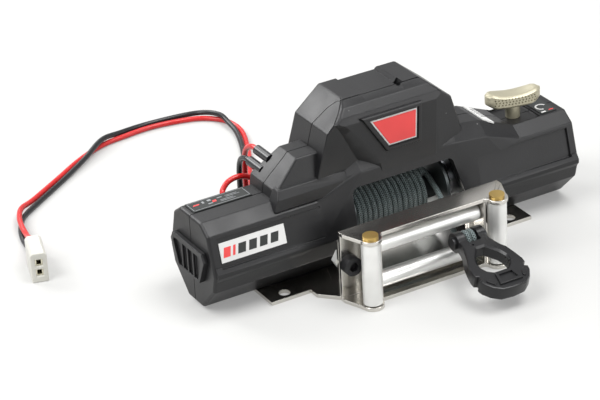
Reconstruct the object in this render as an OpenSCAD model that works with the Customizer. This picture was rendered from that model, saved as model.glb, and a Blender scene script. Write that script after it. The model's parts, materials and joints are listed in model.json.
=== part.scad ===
// Scale model electric recovery winch with a roller fairlead, braided rope and ring hook.
// +X runs along the drum axis, -Y is the hook side, +Z is up, and z = 0 is the underside of the base plate.

/* [Housing] */
// Length of the housing along the drum axis
body_length = 96; // [94:0.5:104]
// Height of the housing above the base plate
body_height = 21.5; // [21:0.1:23]
// Depth of the housing at its widest line
body_depth = 20.6; // [20.2:0.1:22.5]
// Thickness of the housing walls
wall = 1.2; // [0.9:0.05:1.3]
// Bevel around both end faces
end_bevel = 0.9; // [0.4:0.1:1.4]
// Depth of the recessed side panels
panel_depth = 0.5; // [0.3:0.1:0.7]
// Width of the unrecessed rim at each end
end_rim = 2; // [1.5:0.1:3]
// Length of the recessed panels on the motor side
motor_panel_length = 22; // [18:0.5:24]
// Length of the recessed panels on the gear side
gear_panel_length = 20; // [17:0.5:22]

/* [Drum window] */
// Length of the housing on the motor's side of the drum window
motor_side_length = 36.2; // [35.6:0.1:36.6]
// Length of the housing on the gears' side of the drum window
gear_side_length = 33.2; // [32.6:0.1:33.6]
// How far the right edge leans out on its way down
window_lean = 2.2; // [1.4:0.1:2.4]
// Height of the housing above the window's top edge
window_bridge = 1.05; // [0.75:0.05:1.45]
// Rounding of the window's upper corners
window_corner = 1.6; // [1:0.1:2.2]

/* [Tower] */
// Height of the tower's top above the table
tower_top_z = 40.4; // [39.5:0.1:42]
// Half width of the tower's flat top
tower_top_half = 9.9; // [9:0.1:11]
// Half width of the tower at its shoulders
tower_shoulder_half = 16.3; // [15.5:0.1:17.2]
// Height of the shoulders
tower_shoulder_z = 35.1; // [34:0.1:36]
// Half width of the tower at its foot
tower_foot_half = 19.8; // [19:0.1:20.4]
// Rear face of the tower
tower_back_y = 8.2; // [7.6:0.1:8.8]
// Front edge of the tower's flat top
tower_top_front_y = -1.7; // [-2.4:0.1:-1]
// Front face of the tower below the top bevel
tower_face_y = -7.1; // [-7.6:0.1:-6.6]
// Height where the top bevel meets the front face
tower_face_z = 37.3; // [36.6:0.1:38]
// Front face of the tower at its foot
tower_foot_y = -8.2; // [-8.6:0.1:-7.8]
// Half width of the channel in the tower's top
top_channel_half = 5.2; // [4:0.1:6.5]
// Depth of the channel in the tower's top
top_channel_depth = 0.9; // [0.4:0.1:1.1]

/* [Cable block] */
// Left face of the cable block at its top
block_left = -28.4; // [-29:0.1:-27.6]
// Height of the cable block's top
block_top_z = 30.4; // [29.6:0.1:31]
// Front edge of the cable block's top
block_front_y = -5; // [-5.6:0.1:-4]
// Rear edge of the cable block's top
block_rear_y = 3.6; // [3.2:0.1:4.4]

/* [Base and fairlead] */
// Thickness of the bent sheets
plate_t = 0.9; // [0.8:0.05:1]
// Length of the base plate
plate_length = 69; // [66:0.5:74]
// Depth of the base plate under the housing
plate_depth = 20.6; // [20:0.1:22]
// Distance from the base plate's ends to the mounting holes
mount_hole_inset_x = 4.5; // [2.5:0.5:5.5]
// Distance from the base plate's long edges to the mounting holes
mount_hole_inset_y = 2.3; // [2:0.1:2.8]
// Diameter of the mounting holes
mount_hole_d = 2.6; // [2.2:0.1:3]
// Width of the fairlead frame
fairlead_width = 41.6; // [41:0.1:43]
// Height of the fairlead frame
fairlead_height = 17.2; // [17.1:0.1:18]
// Front face of the fairlead's back plate
fairlead_back_y = -17.7; // [-18:0.1:-17.5]
// Depth of the fairlead's top and bottom flanges
flange_reach = 5; // [4.7:0.1:5.3]
// Distance from the fairlead's ends to the side walls that carry the level rollers
side_wall_inset = 7.5; // [7.4:0.1:7.7]

/* [Rollers] */
// Diameter of the upright rollers
upright_d = 4.4; // [4.2:0.05:4.5]
// Distance from the fairlead's ends to the upright rollers' axes
upright_inset = 4.4; // [4.2:0.1:4.5]
// Distance of the upright rollers' axes in front of the fairlead's back plate
upright_reach = 5.6; // [5.5:0.1:5.9]
// Diameter of the level rollers
level_d = 3.8; // [3.4:0.1:4]
// Height of the lower roller's axis
lower_roller_z = 4.05; // [3.8:0.05:4.4]
// Distance from the top of the fairlead down to the upper roller's axis
upper_roller_drop = 4.25; // [3.9:0.05:4.5]
// Distance of the level rollers' axes in front of the fairlead's back plate
level_reach = 2.2; // [2.1:0.05:2.3]
// Diameter of the upright rollers' brass pins
upright_pin_d = 1.8; // [1.4:0.1:2.2]
// Diameter of the brass pin heads
pin_head_d = 3.5; // [3:0.1:3.8]
// Height of the brass pin heads
pin_head_h = 0.7; // [0.4:0.05:0.9]
// Diameter of the level rollers' pins
level_pin_d = 1.6; // [1.2:0.1:1.9]
// Gap between a shaft and the hole it turns in
running_gap = 0.05; // [0.02:0.01:0.09]

/* [Drum and rope] */
// Gap between the drum's end flanges and the housing's walls
flange_gap = 0.5; // [0.4:0.05:0.8]
// Diameter of the drum's tube
drum_core_d = 6.6; // [6.2:0.1:7]
// Length of the drum's shoulder beside its right flange
drum_shoulder_length = 2.5; // [2.1:0.1:2.9]
// Thickness of the drum's flanges
drum_flange_t = 0.7; // [0.5:0.05:0.9]
// Diameter of the drum's journals
journal_d = 5.2; // [5:0.1:5.4]
// Diameter of the braided rope
rope_d = 1.3; // [1.2:0.05:1.4]
// Diameter over the wound rope
wrap_d = 12.2; // [11.6:0.1:12.8]
// Length of the drum left bare where the rope leaves it
bare_length = 2.4; // [2:0.1:2.8]
// Thickness of the plates that carry the drum
bearing_plate_t = 1.2; // [1:0.1:1.3]

/* [Hook] */
// Gap between the hook's pin and the fairlead's right side wall
hook_side_gap = 1.1; // [0.8:0.1:2]
// Distance of the hook's pin in front of the fairlead's back plate
hook_pin_reach = 6.6; // [6.5:0.1:7.3]
// Height of the hook's pin
hook_pin_z = 9.6; // [9.2:0.1:10.2]
// Droop of the hook at rest, in degrees
hook_droop = 15; // [10:1:20]
// Outer radius of the hook's ring
ring_r = 7.1; // [6.9:0.1:7.4]
// Distance from the pin to the ring's centre
ring_reach = 12.4; // [12.2:0.1:13]
// Half width of the hole in the ring
ring_hole_half = 4; // [3.6:0.1:4.2]
// Thickness of the hook's body
hook_t = 3.4; // [3:0.1:3.6]
// Thickness of each clevis ear
ear_t = 2; // [1.7:0.1:2.2]
// Space between the clevis ears
ear_gap = 3.2; // [3:0.1:3.6]
// Diameter of the clevis pin
clevis_pin_d = 1.8; // [1.6:0.1:2]

/* [Motor] */
// Gap between the motor can and the housing's walls
motor_gap = 1.1; // [1:0.05:1.4]
// Room between the motor's terminals and the end wall
motor_end_gap = 1.8; // [1.4:0.1:2.4]
// Length of the motor's plastic end bell
end_bell_length = 2.6; // [2.2:0.1:2.8]
// Wall of the motor can
can_wall = 0.6; // [0.5:0.05:0.8]
// Thickness of the motor's magnets
magnet_t = 1.6; // [1.2:0.1:1.8]
// Air gap between the magnets and the armature
air_gap = 0.5; // [0.35:0.05:0.7]
// Diameter of the drive shaft
shaft_d = 1.8; // [1.6:0.1:1.9]

/* [Gears] */
// Wall of the ring gear behind its teeth
ring_rim = 0.64; // [0.6:0.02:0.7]
// Teeth of each sun gear
sun_teeth = 15; // [15:15:15]
// Teeth of each planet gear
planet_teeth = 15; // [15:15:15]
// Room between the gear case and the screw bosses at the end
gear_end_gap = 2.9; // [2.5:0.1:4.5]
// Gap between the gear case and the housing's walls
case_gap = 0.7; // [0.65:0.05:0.8]
// Wall of the gear case
gear_case_wall = 0.6; // [0.5:0.05:0.7]
// Thickness of the planet carriers
carrier_t = 1.4; // [1.2:0.1:1.6]
// Diameter of the planet pins
planet_pin_d = 1.4; // [1.2:0.1:1.6]

/* [Clutch lever] */
// Distance from the ends of the gears to the lever's spindle
lever_gap = 3.75; // [3.6:0.05:4]
// Length of the lever
lever_length = 13.4; // [12.5:0.1:14.5]
// Width of the lever
lever_width = 5; // [4.4:0.1:5.6]
// Height of the lever at its ends
lever_height = 4.2; // [3.6:0.1:4.6]
// Underside of the lever above the housing's top
lever_lift = 1.2; // [0.8:0.1:1.6]
// Angle of the lever at rest, in degrees
lever_yaw = -13; // [-20:1:-5]
// Diameter of the lever's spindle
spindle_d = 2.4; // [2.2:0.1:2.6]

/* [Leads and plug] */
// Diameter of the insulated leads
lead_d = 1.3; // [1.2:0.05:1.4]
// Diameter of the shrink sleeves
sleeve_d = 2.3; // [2.1:0.1:2.4]
// Length of the shrink sleeves
sleeve_length = 6; // [5:0.5:7]
// Width of the plug
plug_w = 7.4; // [7:0.1:7.8]
// Height of the plug
plug_h = 3.8; // [3.6:0.1:4.4]
// Length of the plug
plug_length = 9; // [8.8:0.1:10]
// Distance between the plug's contacts
plug_pitch = 2.5; // [2.4:0.05:2.6]

/* [Labels and screws] */
// Thickness of the labels
label_t = 0.2; // [0.1:0.05:0.3]
// Length of the label on the front panel
side_label_length = 16.2; // [14:0.1:17]
// Gap between the label on the motor side's top and its neighbours
label_margin = 0.4; // [0.2:0.05:0.8]
// Width of the raised badge at its top
badge_w = 12.4; // [11.5:0.1:13]
// Height of the raised badge
badge_h = 7; // [6.4:0.1:7.4]
// Thickness of the raised badge
badge_t = 0.7; // [0.5:0.1:0.9]
// How far the ribbed plate stands out from the left end
end_plate_t = 1.2; // [0.8:0.1:1.6]
// Thread diameter of the housing screws
screw_d = 1.6; // [1.4:0.1:1.8]
// Head diameter of the housing screws
screw_head_d = 3; // [2.6:0.1:3.1]
// Head diameter of the fairlead bolts
bolt_head_d = 4.4; // [4:0.1:4.6]
// Thread diameter of the fairlead bolts
bolt_d = 2.4; // [2:0.1:2.6]

/* [Hidden] */

// Cuts run past the faces that they cut by this much
over = 1;
// Clearance between fixed pieces that sit in a hole or a pocket
seat_gap = 0.05;
// Clearance between a moving piece and what it passes
pass_gap = 0.3;
// Sides of large and of small round pieces
$fn = 64;

half_length = body_length / 2;
half_height = body_height / 2;
half_depth = body_depth / 2;
axis_z = plate_t + half_height;
body_top_z = plate_t + body_height;
round_room = min(body_depth, body_height) - 2 * wall;

// Outline of the housing about the drum axis: shares of its half depth and half height
top_y_share = 0.46;
ridge_y_share = 0.76;
ridge_z_share = 0.79;
widest_z_share = -0.05;
lower_y_share = 0.89;
lower_z_share = -0.44;
foot_y_share = 0.32;

function mirrored(points) =
    concat(points, [for (i = [len(points) - 1:-1:0]) [-points[i][0], points[i][1]]]);
function between(a, b, share) = a + (b - a) * share;
function side_points(hd, hh) = [
    [hd * foot_y_share, -hh],
    [hd * lower_y_share, hh * lower_z_share],
    [hd, hh * widest_z_share],
    [hd * ridge_y_share, hh * ridge_z_share],
    [hd * top_y_share, hh]];

// Raised ridge and crown of the housing's middle, as heights above the axis and shares of its half depth
crown_rise = 5;
crown_ridge_rise = 2;
crown_z = half_height + crown_rise;
crown_ridge_z = half_height + crown_ridge_rise;
crown_y_share = 0.46;
crown_ridge_share = 0.77;
crown_half = 9;
crown_inset_left = 27;
crown_inset_right = 22;
crown_left = crown_inset_left - half_length;
crown_right = half_length - crown_inset_right;
function crown_points(inset) = [
    [half_depth * foot_y_share, 0],
    [half_depth - inset, 0],
    [half_depth * crown_ridge_share - inset, crown_ridge_z - inset / 2],
    [half_depth * crown_y_share - inset / 2, crown_z - inset]];

module along_x(low, high) translate([low, 0, 0]) rotate([90, 0, 90]) linear_extrude(high - low) children();
module along_y(low, high) translate([0, high, 0]) rotate([90, 0, 0]) linear_extrude(high - low) children();
module rod(low, high, d) translate([low, 0, 0]) rotate([0, 90, 0]) cylinder(d = d, h = high - low);
module on_axis() translate([0, 0, axis_z]) children();
module body_section(inset) polygon(mirrored(side_points(half_depth - inset, half_height - inset)));

// Plan and front outlines that bevel the ends
module end_outline(half) {
    polygon([
        [-half_length + end_bevel, -half], [-half_length, -half + end_bevel],
        [-half_length, half - end_bevel], [-half_length + end_bevel, half],
        [half_length - end_bevel, half], [half_length, half - end_bevel],
        [half_length, -half + end_bevel], [half_length - end_bevel, -half]]);
}
module body_solid() {
    intersection() {
        along_x(-half_length, half_length) body_section(0);
        along_y(-half_depth - over, half_depth + over) end_outline(half_height);
        translate([0, 0, -half_height - over]) linear_extrude(body_height + 2 * over) end_outline(half_depth);
    }
}
module crown_solid(inset) {
    slab = end_rim / 2;
    hull() {
        along_x(-crown_half, crown_half) polygon(mirrored(crown_points(inset)));
        along_x(crown_left + inset, crown_left + inset + slab) body_section(inset);
        along_x(crown_right - inset - slab, crown_right - inset) body_section(inset);
    }
}

tower_low_rise = 1;
tower_low_z = body_top_z + tower_low_rise;
tower_yaw_left = -15;
tower_pitch_left = 5.2;
tower_yaw_right = 13;
tower_pitch_right = -3.2;
tower_edge_left_x = -11;
tower_edge_right_x = 12;
tower_edge_drop = 1.3;
tower_edge_z = tower_face_z - tower_edge_drop;
function tower_front_points(inset) = [
    [tower_foot_half - inset, tower_low_z],
    [tower_shoulder_half - inset, tower_shoulder_z - inset / 2],
    [tower_top_half - inset / 2, tower_top_z - inset]];
module tower_facet(x, yaw, pitch, inset) {
    size = tower_top_z;
    translate([x, tower_face_y, tower_edge_z]) rotate([pitch, 0, yaw])
        translate([-size, inset - size, -size]) cube([2 * size, size, 2 * size]);
}
module tower(inset) {
    difference() {
        intersection() {
            along_y(tower_foot_y - over, tower_back_y - inset) polygon(mirrored(tower_front_points(inset)));
            along_x(-tower_foot_half, tower_foot_half) polygon([
                [tower_foot_y + inset, tower_low_z], [tower_face_y + inset, tower_face_z - inset / 2],
                [tower_top_front_y + inset / 2, tower_top_z - inset],
                [tower_back_y - inset, tower_top_z - inset], [tower_back_y - inset, tower_low_z]]);
        }
        tower_facet(tower_edge_left_x, tower_yaw_left, tower_pitch_left, inset);
        tower_facet(tower_edge_right_x, tower_yaw_right, tower_pitch_right, inset);
        half = top_channel_half + inset / 2;
        depth = tower_back_y - tower_foot_y + 2 * over;
        translate([-half, tower_foot_y - over, tower_top_z - top_channel_depth - inset])
            cube([2 * half, depth, top_channel_depth + over]);
    }
}

// The block sits on the motor side's top and flares out into it
block_flare = 3.4;
block_flare_rise = 2.2;
block_sink = 1.9;
block_flare_z = body_top_z + block_flare_rise;
block_low_z = body_top_z - block_sink;
block_front_slope = 2;
block_rear_slope = 2.4;
module cable_block(inset) {
    intersection() {
        along_y(-half_depth, half_depth) polygon([
            [block_left - block_flare + inset, block_low_z],
            [block_left - block_flare + inset, body_top_z - inset],
            [block_left - over + inset, block_flare_z - inset],
            [block_left + inset, block_top_z - inset],
            [-tower_top_half, block_top_z - inset],
            [-tower_top_half, block_low_z]]);
        along_x(block_left - block_flare, -tower_top_half) polygon([
            [block_front_y - block_front_slope + inset, block_low_z],
            [block_front_y - block_front_slope / 2 + inset, block_flare_z],
            [block_front_y + inset, block_top_z - inset],
            [block_rear_y - inset, block_top_z - inset],
            [block_rear_y + block_rear_slope - inset, block_flare_z],
            [block_rear_y + block_rear_slope - inset, block_low_z]]);
    }
}

// Bulkheads close the drum bay from the motor and the gears
window_left = motor_side_length - half_length;
window_right = half_length - gear_side_length;
window_foot = window_right + window_lean;
bay_margin_left = 1.5;
bay_margin_right = 1.3;
bay_left = window_left - bay_margin_left;
bay_right = window_foot + bay_margin_right;
bay_ceiling_z = body_top_z - wall;

module drum_window() {
    top = body_top_z - window_bridge;
    along_y(-half_depth - over, half_depth + over) union() {
        polygon([
            [window_left, -over], [window_left, top - window_corner],
            [window_left + window_corner, top], [window_right - window_corner, top],
            [window_right, top - window_corner], [window_foot, axis_z], [window_foot, -over]]);
        translate([window_left + window_corner, top - window_corner]) circle(r = window_corner);
        translate([window_right - window_corner, top - window_corner]) circle(r = window_corner);
    }
}

// Recess between the widest line and the ridge, as a cut or as a label that lies in it
function panel_low() = [half_depth, half_height * widest_z_share];
function panel_high() = [half_depth * ridge_y_share, half_height * ridge_z_share];
function panel_out() =
    let (d = panel_high() - panel_low(), n = norm(d)) [d[1] / n, -d[0] / n];
panel_margin_share = 0.11;
module panel_slab(low_share, high_share, inner, outer) {
    a = between(panel_low(), panel_high(), low_share);
    b = between(panel_low(), panel_high(), high_share);
    n = panel_out();
    polygon([a + n * inner, b + n * inner, b + n * outer, a + n * outer]);
}
module side_panels() {
    for (side = [0, 1]) mirror([0, side, 0]) mirror([0, 1, 0]) {
        along_x(end_rim - half_length, end_rim - half_length + motor_panel_length)
            panel_slab(panel_margin_share, 1 - panel_margin_share, -panel_depth, over);
        along_x(half_length - end_rim - gear_panel_length, half_length - end_rim)
            panel_slab(panel_margin_share, 1 - panel_margin_share, -panel_depth, over);
    }
}

// Shallow well under the clutch lever
well_half = 4.6;
well_depth = 0.5;
spindle_hole_d = spindle_d + 2 * running_gap;

// Screws that join the shells run front to back
tower_screw_inset = 1.3;
tower_screw_drop = 1.7;
tower_screw_x = tower_top_half - tower_screw_inset;
tower_screw_z = tower_shoulder_z - tower_screw_drop;
boss_d = 4;
end_screw_inset = 2.6;
end_screw_drop = 2;
end_screw_x = half_length - end_screw_inset;
end_screw_z = axis_z - end_screw_drop;
screw_head_h = 1.6;
end_seat_depth = 2.2;
end_seat_y = half_depth - end_seat_depth;
tower_seat_y = tower_back_y - screw_head_h;
screw_places = [
    [-end_screw_x, end_screw_z, end_seat_y], [end_screw_x, end_screw_z, end_seat_y],
    [-tower_screw_x, tower_screw_z, tower_seat_y], [tower_screw_x, tower_screw_z, tower_seat_y]];
screw_engage = 4;

// Bosses in the floor take the screws that come up through the base plate
floor_boss_d = 2.8;
floor_boss_h = 0.9;
base_screw_inset = 3;
base_screw_xs = [bay_left - base_screw_inset, bay_right + base_screw_inset];
base_screw_y = 2;
base_screw_d = 1.6;
base_screw_h = 2.6;
base_screw_head_d = 2.8;
base_screw_head_h = 0.5;

// Passage that takes the leads from the block down to the motor
passage_x = -24;
passage_y = 1.4;
passage_d = 4;
lead_hole_d = sleeve_d + 2 * seat_gap;

module housing_cavity() {
    difference() {
        union() {
            on_axis() along_x(wall - half_length, bay_left - wall) body_section(wall);
            on_axis() along_x(bay_left, bay_right) body_section(wall);
            on_axis() along_x(bay_right + wall, half_length - wall) body_section(wall);
            intersection() {
                union() {
                    on_axis() crown_solid(wall);
                    tower(wall);
                    cable_block(wall);
                }
                translate([-half_length, -half_depth, body_top_z])
                    cube([body_length, body_depth, tower_top_z]);
            }
            on_axis() rod(bay_left - wall - over, bay_left + over, bush_seat_d);
            on_axis() rod(bay_right - over, bay_right + wall + over, journal_d + 2 * running_gap);
            translate([passage_x, passage_y, bay_ceiling_z - over])
                cylinder(d = passage_d, h = wall + 2 * over);
        }
        for (at = screw_places) translate([at[0], half_depth, at[1]]) rotate([90, 0, 0])
            cylinder(d = boss_d, h = body_depth);
        for (x = base_screw_xs, side = [-1, 1]) translate([x, side * base_screw_y, plate_t])
            cylinder(d = floor_boss_d, h = wall + floor_boss_h);
    }
}
module housing() {
    difference() {
        union() {
            on_axis() body_solid();
            on_axis() crown_solid(0);
            tower(0);
            cable_block(0);
            badge_frame();
        }
        housing_cavity();
        drum_window();
        on_axis() side_panels();
        translate([lever_x - well_half, -well_half, body_top_z - well_depth])
            cube([2 * well_half, 2 * well_half, crown_z]);
        translate([lever_x, 0, axis_z]) cylinder(d = spindle_hole_d, h = body_height);
        for (at = lead_exits) translate([at[0], at[1], at[2]]) rotate([90, 0, 0])
            cylinder(d = lead_hole_d, h = sleeve_length + over);
        for (x = base_screw_xs, side = [-1, 1]) translate([x, side * base_screw_y, 0])
            cylinder(d = base_screw_d, h = base_screw_h);
        for (x = jumper_hole_x) translate([x, half_depth + over, jumper_z]) rotate([90, 0, 0])
            cylinder(d = lead_d + 2 * seat_gap, h = half_depth / 2 + over);
    }
}
module front_housing() color([0.13, 0.13, 0.14]) {
    difference() {
        housing();
        translate([-body_length, 0, -over]) cube([2 * body_length, body_depth, 2 * tower_top_z]);
        for (at = screw_places) translate([at[0], over, at[1]]) rotate([90, 0, 0])
            cylinder(d = screw_d, h = screw_engage + over);
    }
}
module rear_housing() color([0.15, 0.15, 0.16]) {
    difference() {
        housing();
        translate([-body_length, -body_depth, -over]) cube([2 * body_length, body_depth, 2 * tower_top_z]);
        for (at = screw_places) translate([at[0], 0, at[1]]) {
            translate([0, half_depth + over, 0]) rotate([90, 0, 0])
                cylinder(d = screw_d + 2 * seat_gap, h = body_depth);
            translate([0, half_depth + over, 0]) rotate([90, 0, 0])
                cylinder(d = screw_head_d + 2 * seat_gap, h = half_depth + over - at[2]);
        }
    }
}

// Ribbed plate on the left end: half widths and heights about the axis as shares of the housing
end_plate_top_share = 0.4;
end_plate_rim_share = 0.22;
end_plate_low_share = -0.33;
end_plate_half_shares = [0.64, 0.74, 0.48];
end_plate_ribs = 3;
module end_plate() color([0.14, 0.14, 0.15]) on_axis() {
    top = half_height * end_plate_top_share;
    rim = half_height * end_plate_rim_share;
    low = half_height * end_plate_low_share;
    halves = [for (share = end_plate_half_shares) half_depth * share];
    rib_t = end_plate_t / 2;
    pitch = halves[2] * 2 / (end_plate_ribs + 1);
    outer = mirrored([[halves[2], low], [halves[1], rim], [halves[0], top]]);
    inner = mirrored([
        [halves[2] - rib_t, low + rib_t], [halves[1] - 2 * rib_t, rim],
        [halves[0] - rib_t, top - 2 * rib_t]]);
    along_x(-half_length - rib_t, -half_length) polygon(outer);
    along_x(-half_length - end_plate_t, -half_length - rib_t) difference() {
        polygon(outer);
        polygon(inner);
    }
    for (i = [1:end_plate_ribs])
        translate([-half_length - end_plate_t, pitch * i - halves[2] - rib_t / 2, low + rib_t])
            cube([rib_t, rib_t, top - low - 3 * rib_t]);
}

// The badge lies on the tower's sloping front face; its left edge slants
badge_drop = 1.4;
badge_top_z = tower_face_z - badge_drop;
badge_slant = 4.4;
badge_right_share = 0.5;
face_tilt = atan((tower_face_y - tower_foot_y) / (tower_face_z - tower_low_z));
function face_y(z) = tower_face_y - (tower_face_z - z) * tan(face_tilt);
badge_frame_w = 1;
badge_frame_t = 0.5;
module badge_outline(grow) {
    right = badge_w * badge_right_share;
    polygon([
        [right - badge_w + badge_slant - grow, -grow], [right - badge_t + grow, -grow],
        [right + grow, badge_h + grow], [right - badge_w - 2 * grow, badge_h + grow]]);
}
module on_tower_face() translate([0, face_y(badge_top_z - badge_h), badge_top_z - badge_h])
    rotate([-face_tilt, 0, 0]) children();
module badge_plate() color([0.78, 0.08, 0.08]) on_tower_face() along_y(-badge_t, 0) badge_outline(0);
module badge_frame() on_tower_face() along_y(-badge_frame_t, wall / 2) difference() {
    badge_outline(badge_frame_w);
    badge_outline(seat_gap);
}

side_label_low_share = 0.3;
side_label_high_share = 0.78;
module side_label() color([0.93, 0.93, 0.92]) on_axis() mirror([0, 1, 0]) {
    start = end_rim - half_length + panel_depth;
    along_x(start, start + side_label_length)
        panel_slab(side_label_low_share, side_label_high_share, -panel_depth, label_t - panel_depth);
}
module top_label() color([0.2, 0.21, 0.21]) {
    start = end_bevel + label_margin - half_length;
    end = block_left - block_flare - label_margin;
    translate([start, label_margin / 2, body_top_z])
        cube([end - start, half_depth * top_y_share - label_margin, label_t]);
}
clutch_label_w = 4.4;
module clutch_labels() color([0.75, 0.76, 0.77]) {
    depth = body_depth * top_y_share - 2 * label_margin;
    reach = well_half + label_margin;
    translate([lever_x + reach, -depth / 2, body_top_z]) cube([clutch_label_w, depth, label_t]);
    translate([lever_x - reach - clutch_label_w / 2, -depth / 2, body_top_z])
        cube([clutch_label_w / 2, depth, label_t]);
}

module housing_screws() color([0.1, 0.1, 0.11]) {
    for (at = screw_places) translate([at[0], at[2], at[1]]) {
        rotate([90, 0, 0]) cylinder(d = screw_d, h = at[2] + screw_engage - seat_gap);
        difference() {
            translate([0, screw_head_h, 0]) rotate([90, 0, 0]) cylinder(d = screw_head_d, h = screw_head_h);
            translate([0, screw_head_h + over, 0]) rotate([90, 0, 0])
                cylinder(d = screw_d, h = screw_head_h / 2 + over, $fn = 6);
        }
    }
}

// One bent sheet: base, narrower front tab and the upright that the fairlead bolts to
plate_back_y = fairlead_back_y + plate_t;
flange_front_y = fairlead_back_y - flange_reach;
side_wall_gap = fairlead_width - 2 * side_wall_inset;
upright_pitch = fairlead_width - 2 * upright_inset;
upright_y = upright_reach - fairlead_back_y;
level_y = level_reach - fairlead_back_y;
upper_roller_z = fairlead_height - upper_roller_drop;
tab_margin = 3.7;
tab_half = fairlead_width / 2 + tab_margin;
tab_bevel = 2;
upright_drop = 2.6;
upright_top_z = fairlead_height - upright_drop;
bolt_inset = 1.9;
bolt_rise = 0.6;
bolt_x = fairlead_width / 2 - bolt_inset;
bolt_z = fairlead_height / 2 + bolt_rise;
fairlead_window_inset = 0.6;
fairlead_window_drop = 2.9;
fairlead_window_low = 2.4;
fairlead_window_high = fairlead_height - fairlead_window_drop;
fairlead_window_width = side_wall_gap - 2 * fairlead_window_inset;
mount_hole_x = plate_length / 2 - mount_hole_inset_x;
mount_hole_y = plate_depth / 2 - mount_hole_inset_y;
side_wall_share = 0.7;
side_wall_t = plate_t * side_wall_share;
nut_t = 1.6;
nut_d = 4.8;
module mount_plate() color([0.8, 0.81, 0.82]) {
    half = fairlead_width / 2;
    difference() {
        union() {
            linear_extrude(plate_t) polygon([
                [-plate_length / 2, plate_depth / 2], [-plate_length / 2, -plate_depth / 2],
                [-tab_half, -plate_depth / 2], [-tab_half, plate_back_y + 2 * tab_bevel],
                [-half, plate_back_y], [half, plate_back_y],
                [tab_half, plate_back_y + 2 * tab_bevel], [tab_half, -plate_depth / 2],
                [plate_length / 2, -plate_depth / 2], [plate_length / 2, plate_depth / 2]]);
            translate([-half, plate_back_y, 0]) cube([fairlead_width, plate_t, upright_top_z]);
        }
        translate([-fairlead_window_width / 2, plate_back_y - over, fairlead_window_low])
            cube([fairlead_window_width, plate_t + 2 * over, fairlead_height]);
        for (x = [-1, 1], y = [-1, 1]) translate([x * mount_hole_x, y * mount_hole_y, -over])
            cylinder(d = mount_hole_d, h = plate_t + 2 * over);
        for (side = [-1, 1]) translate([side * bolt_x, plate_back_y + plate_t + over, bolt_z])
            rotate([90, 0, 0]) cylinder(d = bolt_d + 2 * seat_gap, h = plate_t + 2 * over);
        for (x = base_screw_xs, side = [-1, 1]) translate([x, side * base_screw_y, -over]) {
            cylinder(d = base_screw_d + 2 * seat_gap, h = plate_t + 2 * over);
            cylinder(d = base_screw_head_d + 2 * seat_gap, h = over + base_screw_head_h);
        }
    }
}

// The fairlead is a channel with an ear over and under each upright roller
ear_r = 2.5;
module fairlead_flange() {
    half = fairlead_width / 2;
    middle = side_wall_gap / 2;
    axis = upright_pitch / 2;
    difference() {
        union() {
            polygon([
                [-half, fairlead_back_y + plate_t], [-half, fairlead_back_y - plate_t],
                [-axis - ear_r, -upright_y], [-axis + ear_r, -upright_y], [-middle, flange_front_y],
                [middle, flange_front_y], [axis - ear_r, -upright_y], [axis + ear_r, -upright_y],
                [half, fairlead_back_y - plate_t], [half, fairlead_back_y + plate_t]]);
            for (side = [-1, 1]) translate([side * axis, -upright_y]) circle(r = ear_r);
        }
        for (side = [-1, 1]) translate([side * axis, -upright_y]) circle(d = upright_pin_d);
    }
}
module fairlead_frame() color([0.83, 0.84, 0.85]) {
    half = fairlead_width / 2;
    difference() {
        union() {
            linear_extrude(plate_t) fairlead_flange();
            translate([0, 0, fairlead_height - plate_t]) linear_extrude(plate_t) fairlead_flange();
            translate([-half, fairlead_back_y, 0]) cube([fairlead_width, plate_t, fairlead_height]);
            for (side = [0, 1]) mirror([side, 0, 0])
                translate([side_wall_gap / 2, flange_front_y, 0])
                    cube([side_wall_t, fairlead_back_y - flange_front_y, fairlead_height]);
        }
        translate([-fairlead_window_width / 2, fairlead_back_y - plate_t, fairlead_window_low])
            cube([fairlead_window_width, 3 * plate_t, fairlead_window_high - fairlead_window_low]);
        for (side = [-1, 1]) translate([side * bolt_x, fairlead_back_y + plate_t + over, bolt_z])
            rotate([90, 0, 0]) cylinder(d = bolt_d + 2 * seat_gap, h = plate_t + 2 * over);
        for (z = [lower_roller_z, upper_roller_z]) translate([0, -level_y, z])
            rod(-half, half, level_pin_d);
    }
}

module fairlead_bolts() color([0.08, 0.08, 0.09]) {
    head_h = bolt_d;
    for (side = [-1, 1]) translate([side * bolt_x, fairlead_back_y, bolt_z]) {
        translate([0, 2 * plate_t + nut_t, 0]) rotate([90, 0, 0])
            cylinder(d = bolt_d, h = 2 * plate_t + nut_t);
        difference() {
            rotate([90, 0, 0]) cylinder(d = bolt_head_d, h = head_h);
            translate([0, -head_h / 2, 0]) rotate([90, 0, 0]) cylinder(d = bolt_d, h = head_h, $fn = 6);
        }
    }
}
module fairlead_nuts() color([0.7, 0.71, 0.72]) {
    for (side = [-1, 1]) translate([side * bolt_x, plate_back_y + plate_t + nut_t, bolt_z]) rotate([90, 0, 0])
        difference() {
            cylinder(d = nut_d, h = nut_t, $fn = 6);
            translate([0, 0, -over]) cylinder(d = bolt_d, h = nut_t + 2 * over);
        }
}

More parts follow.
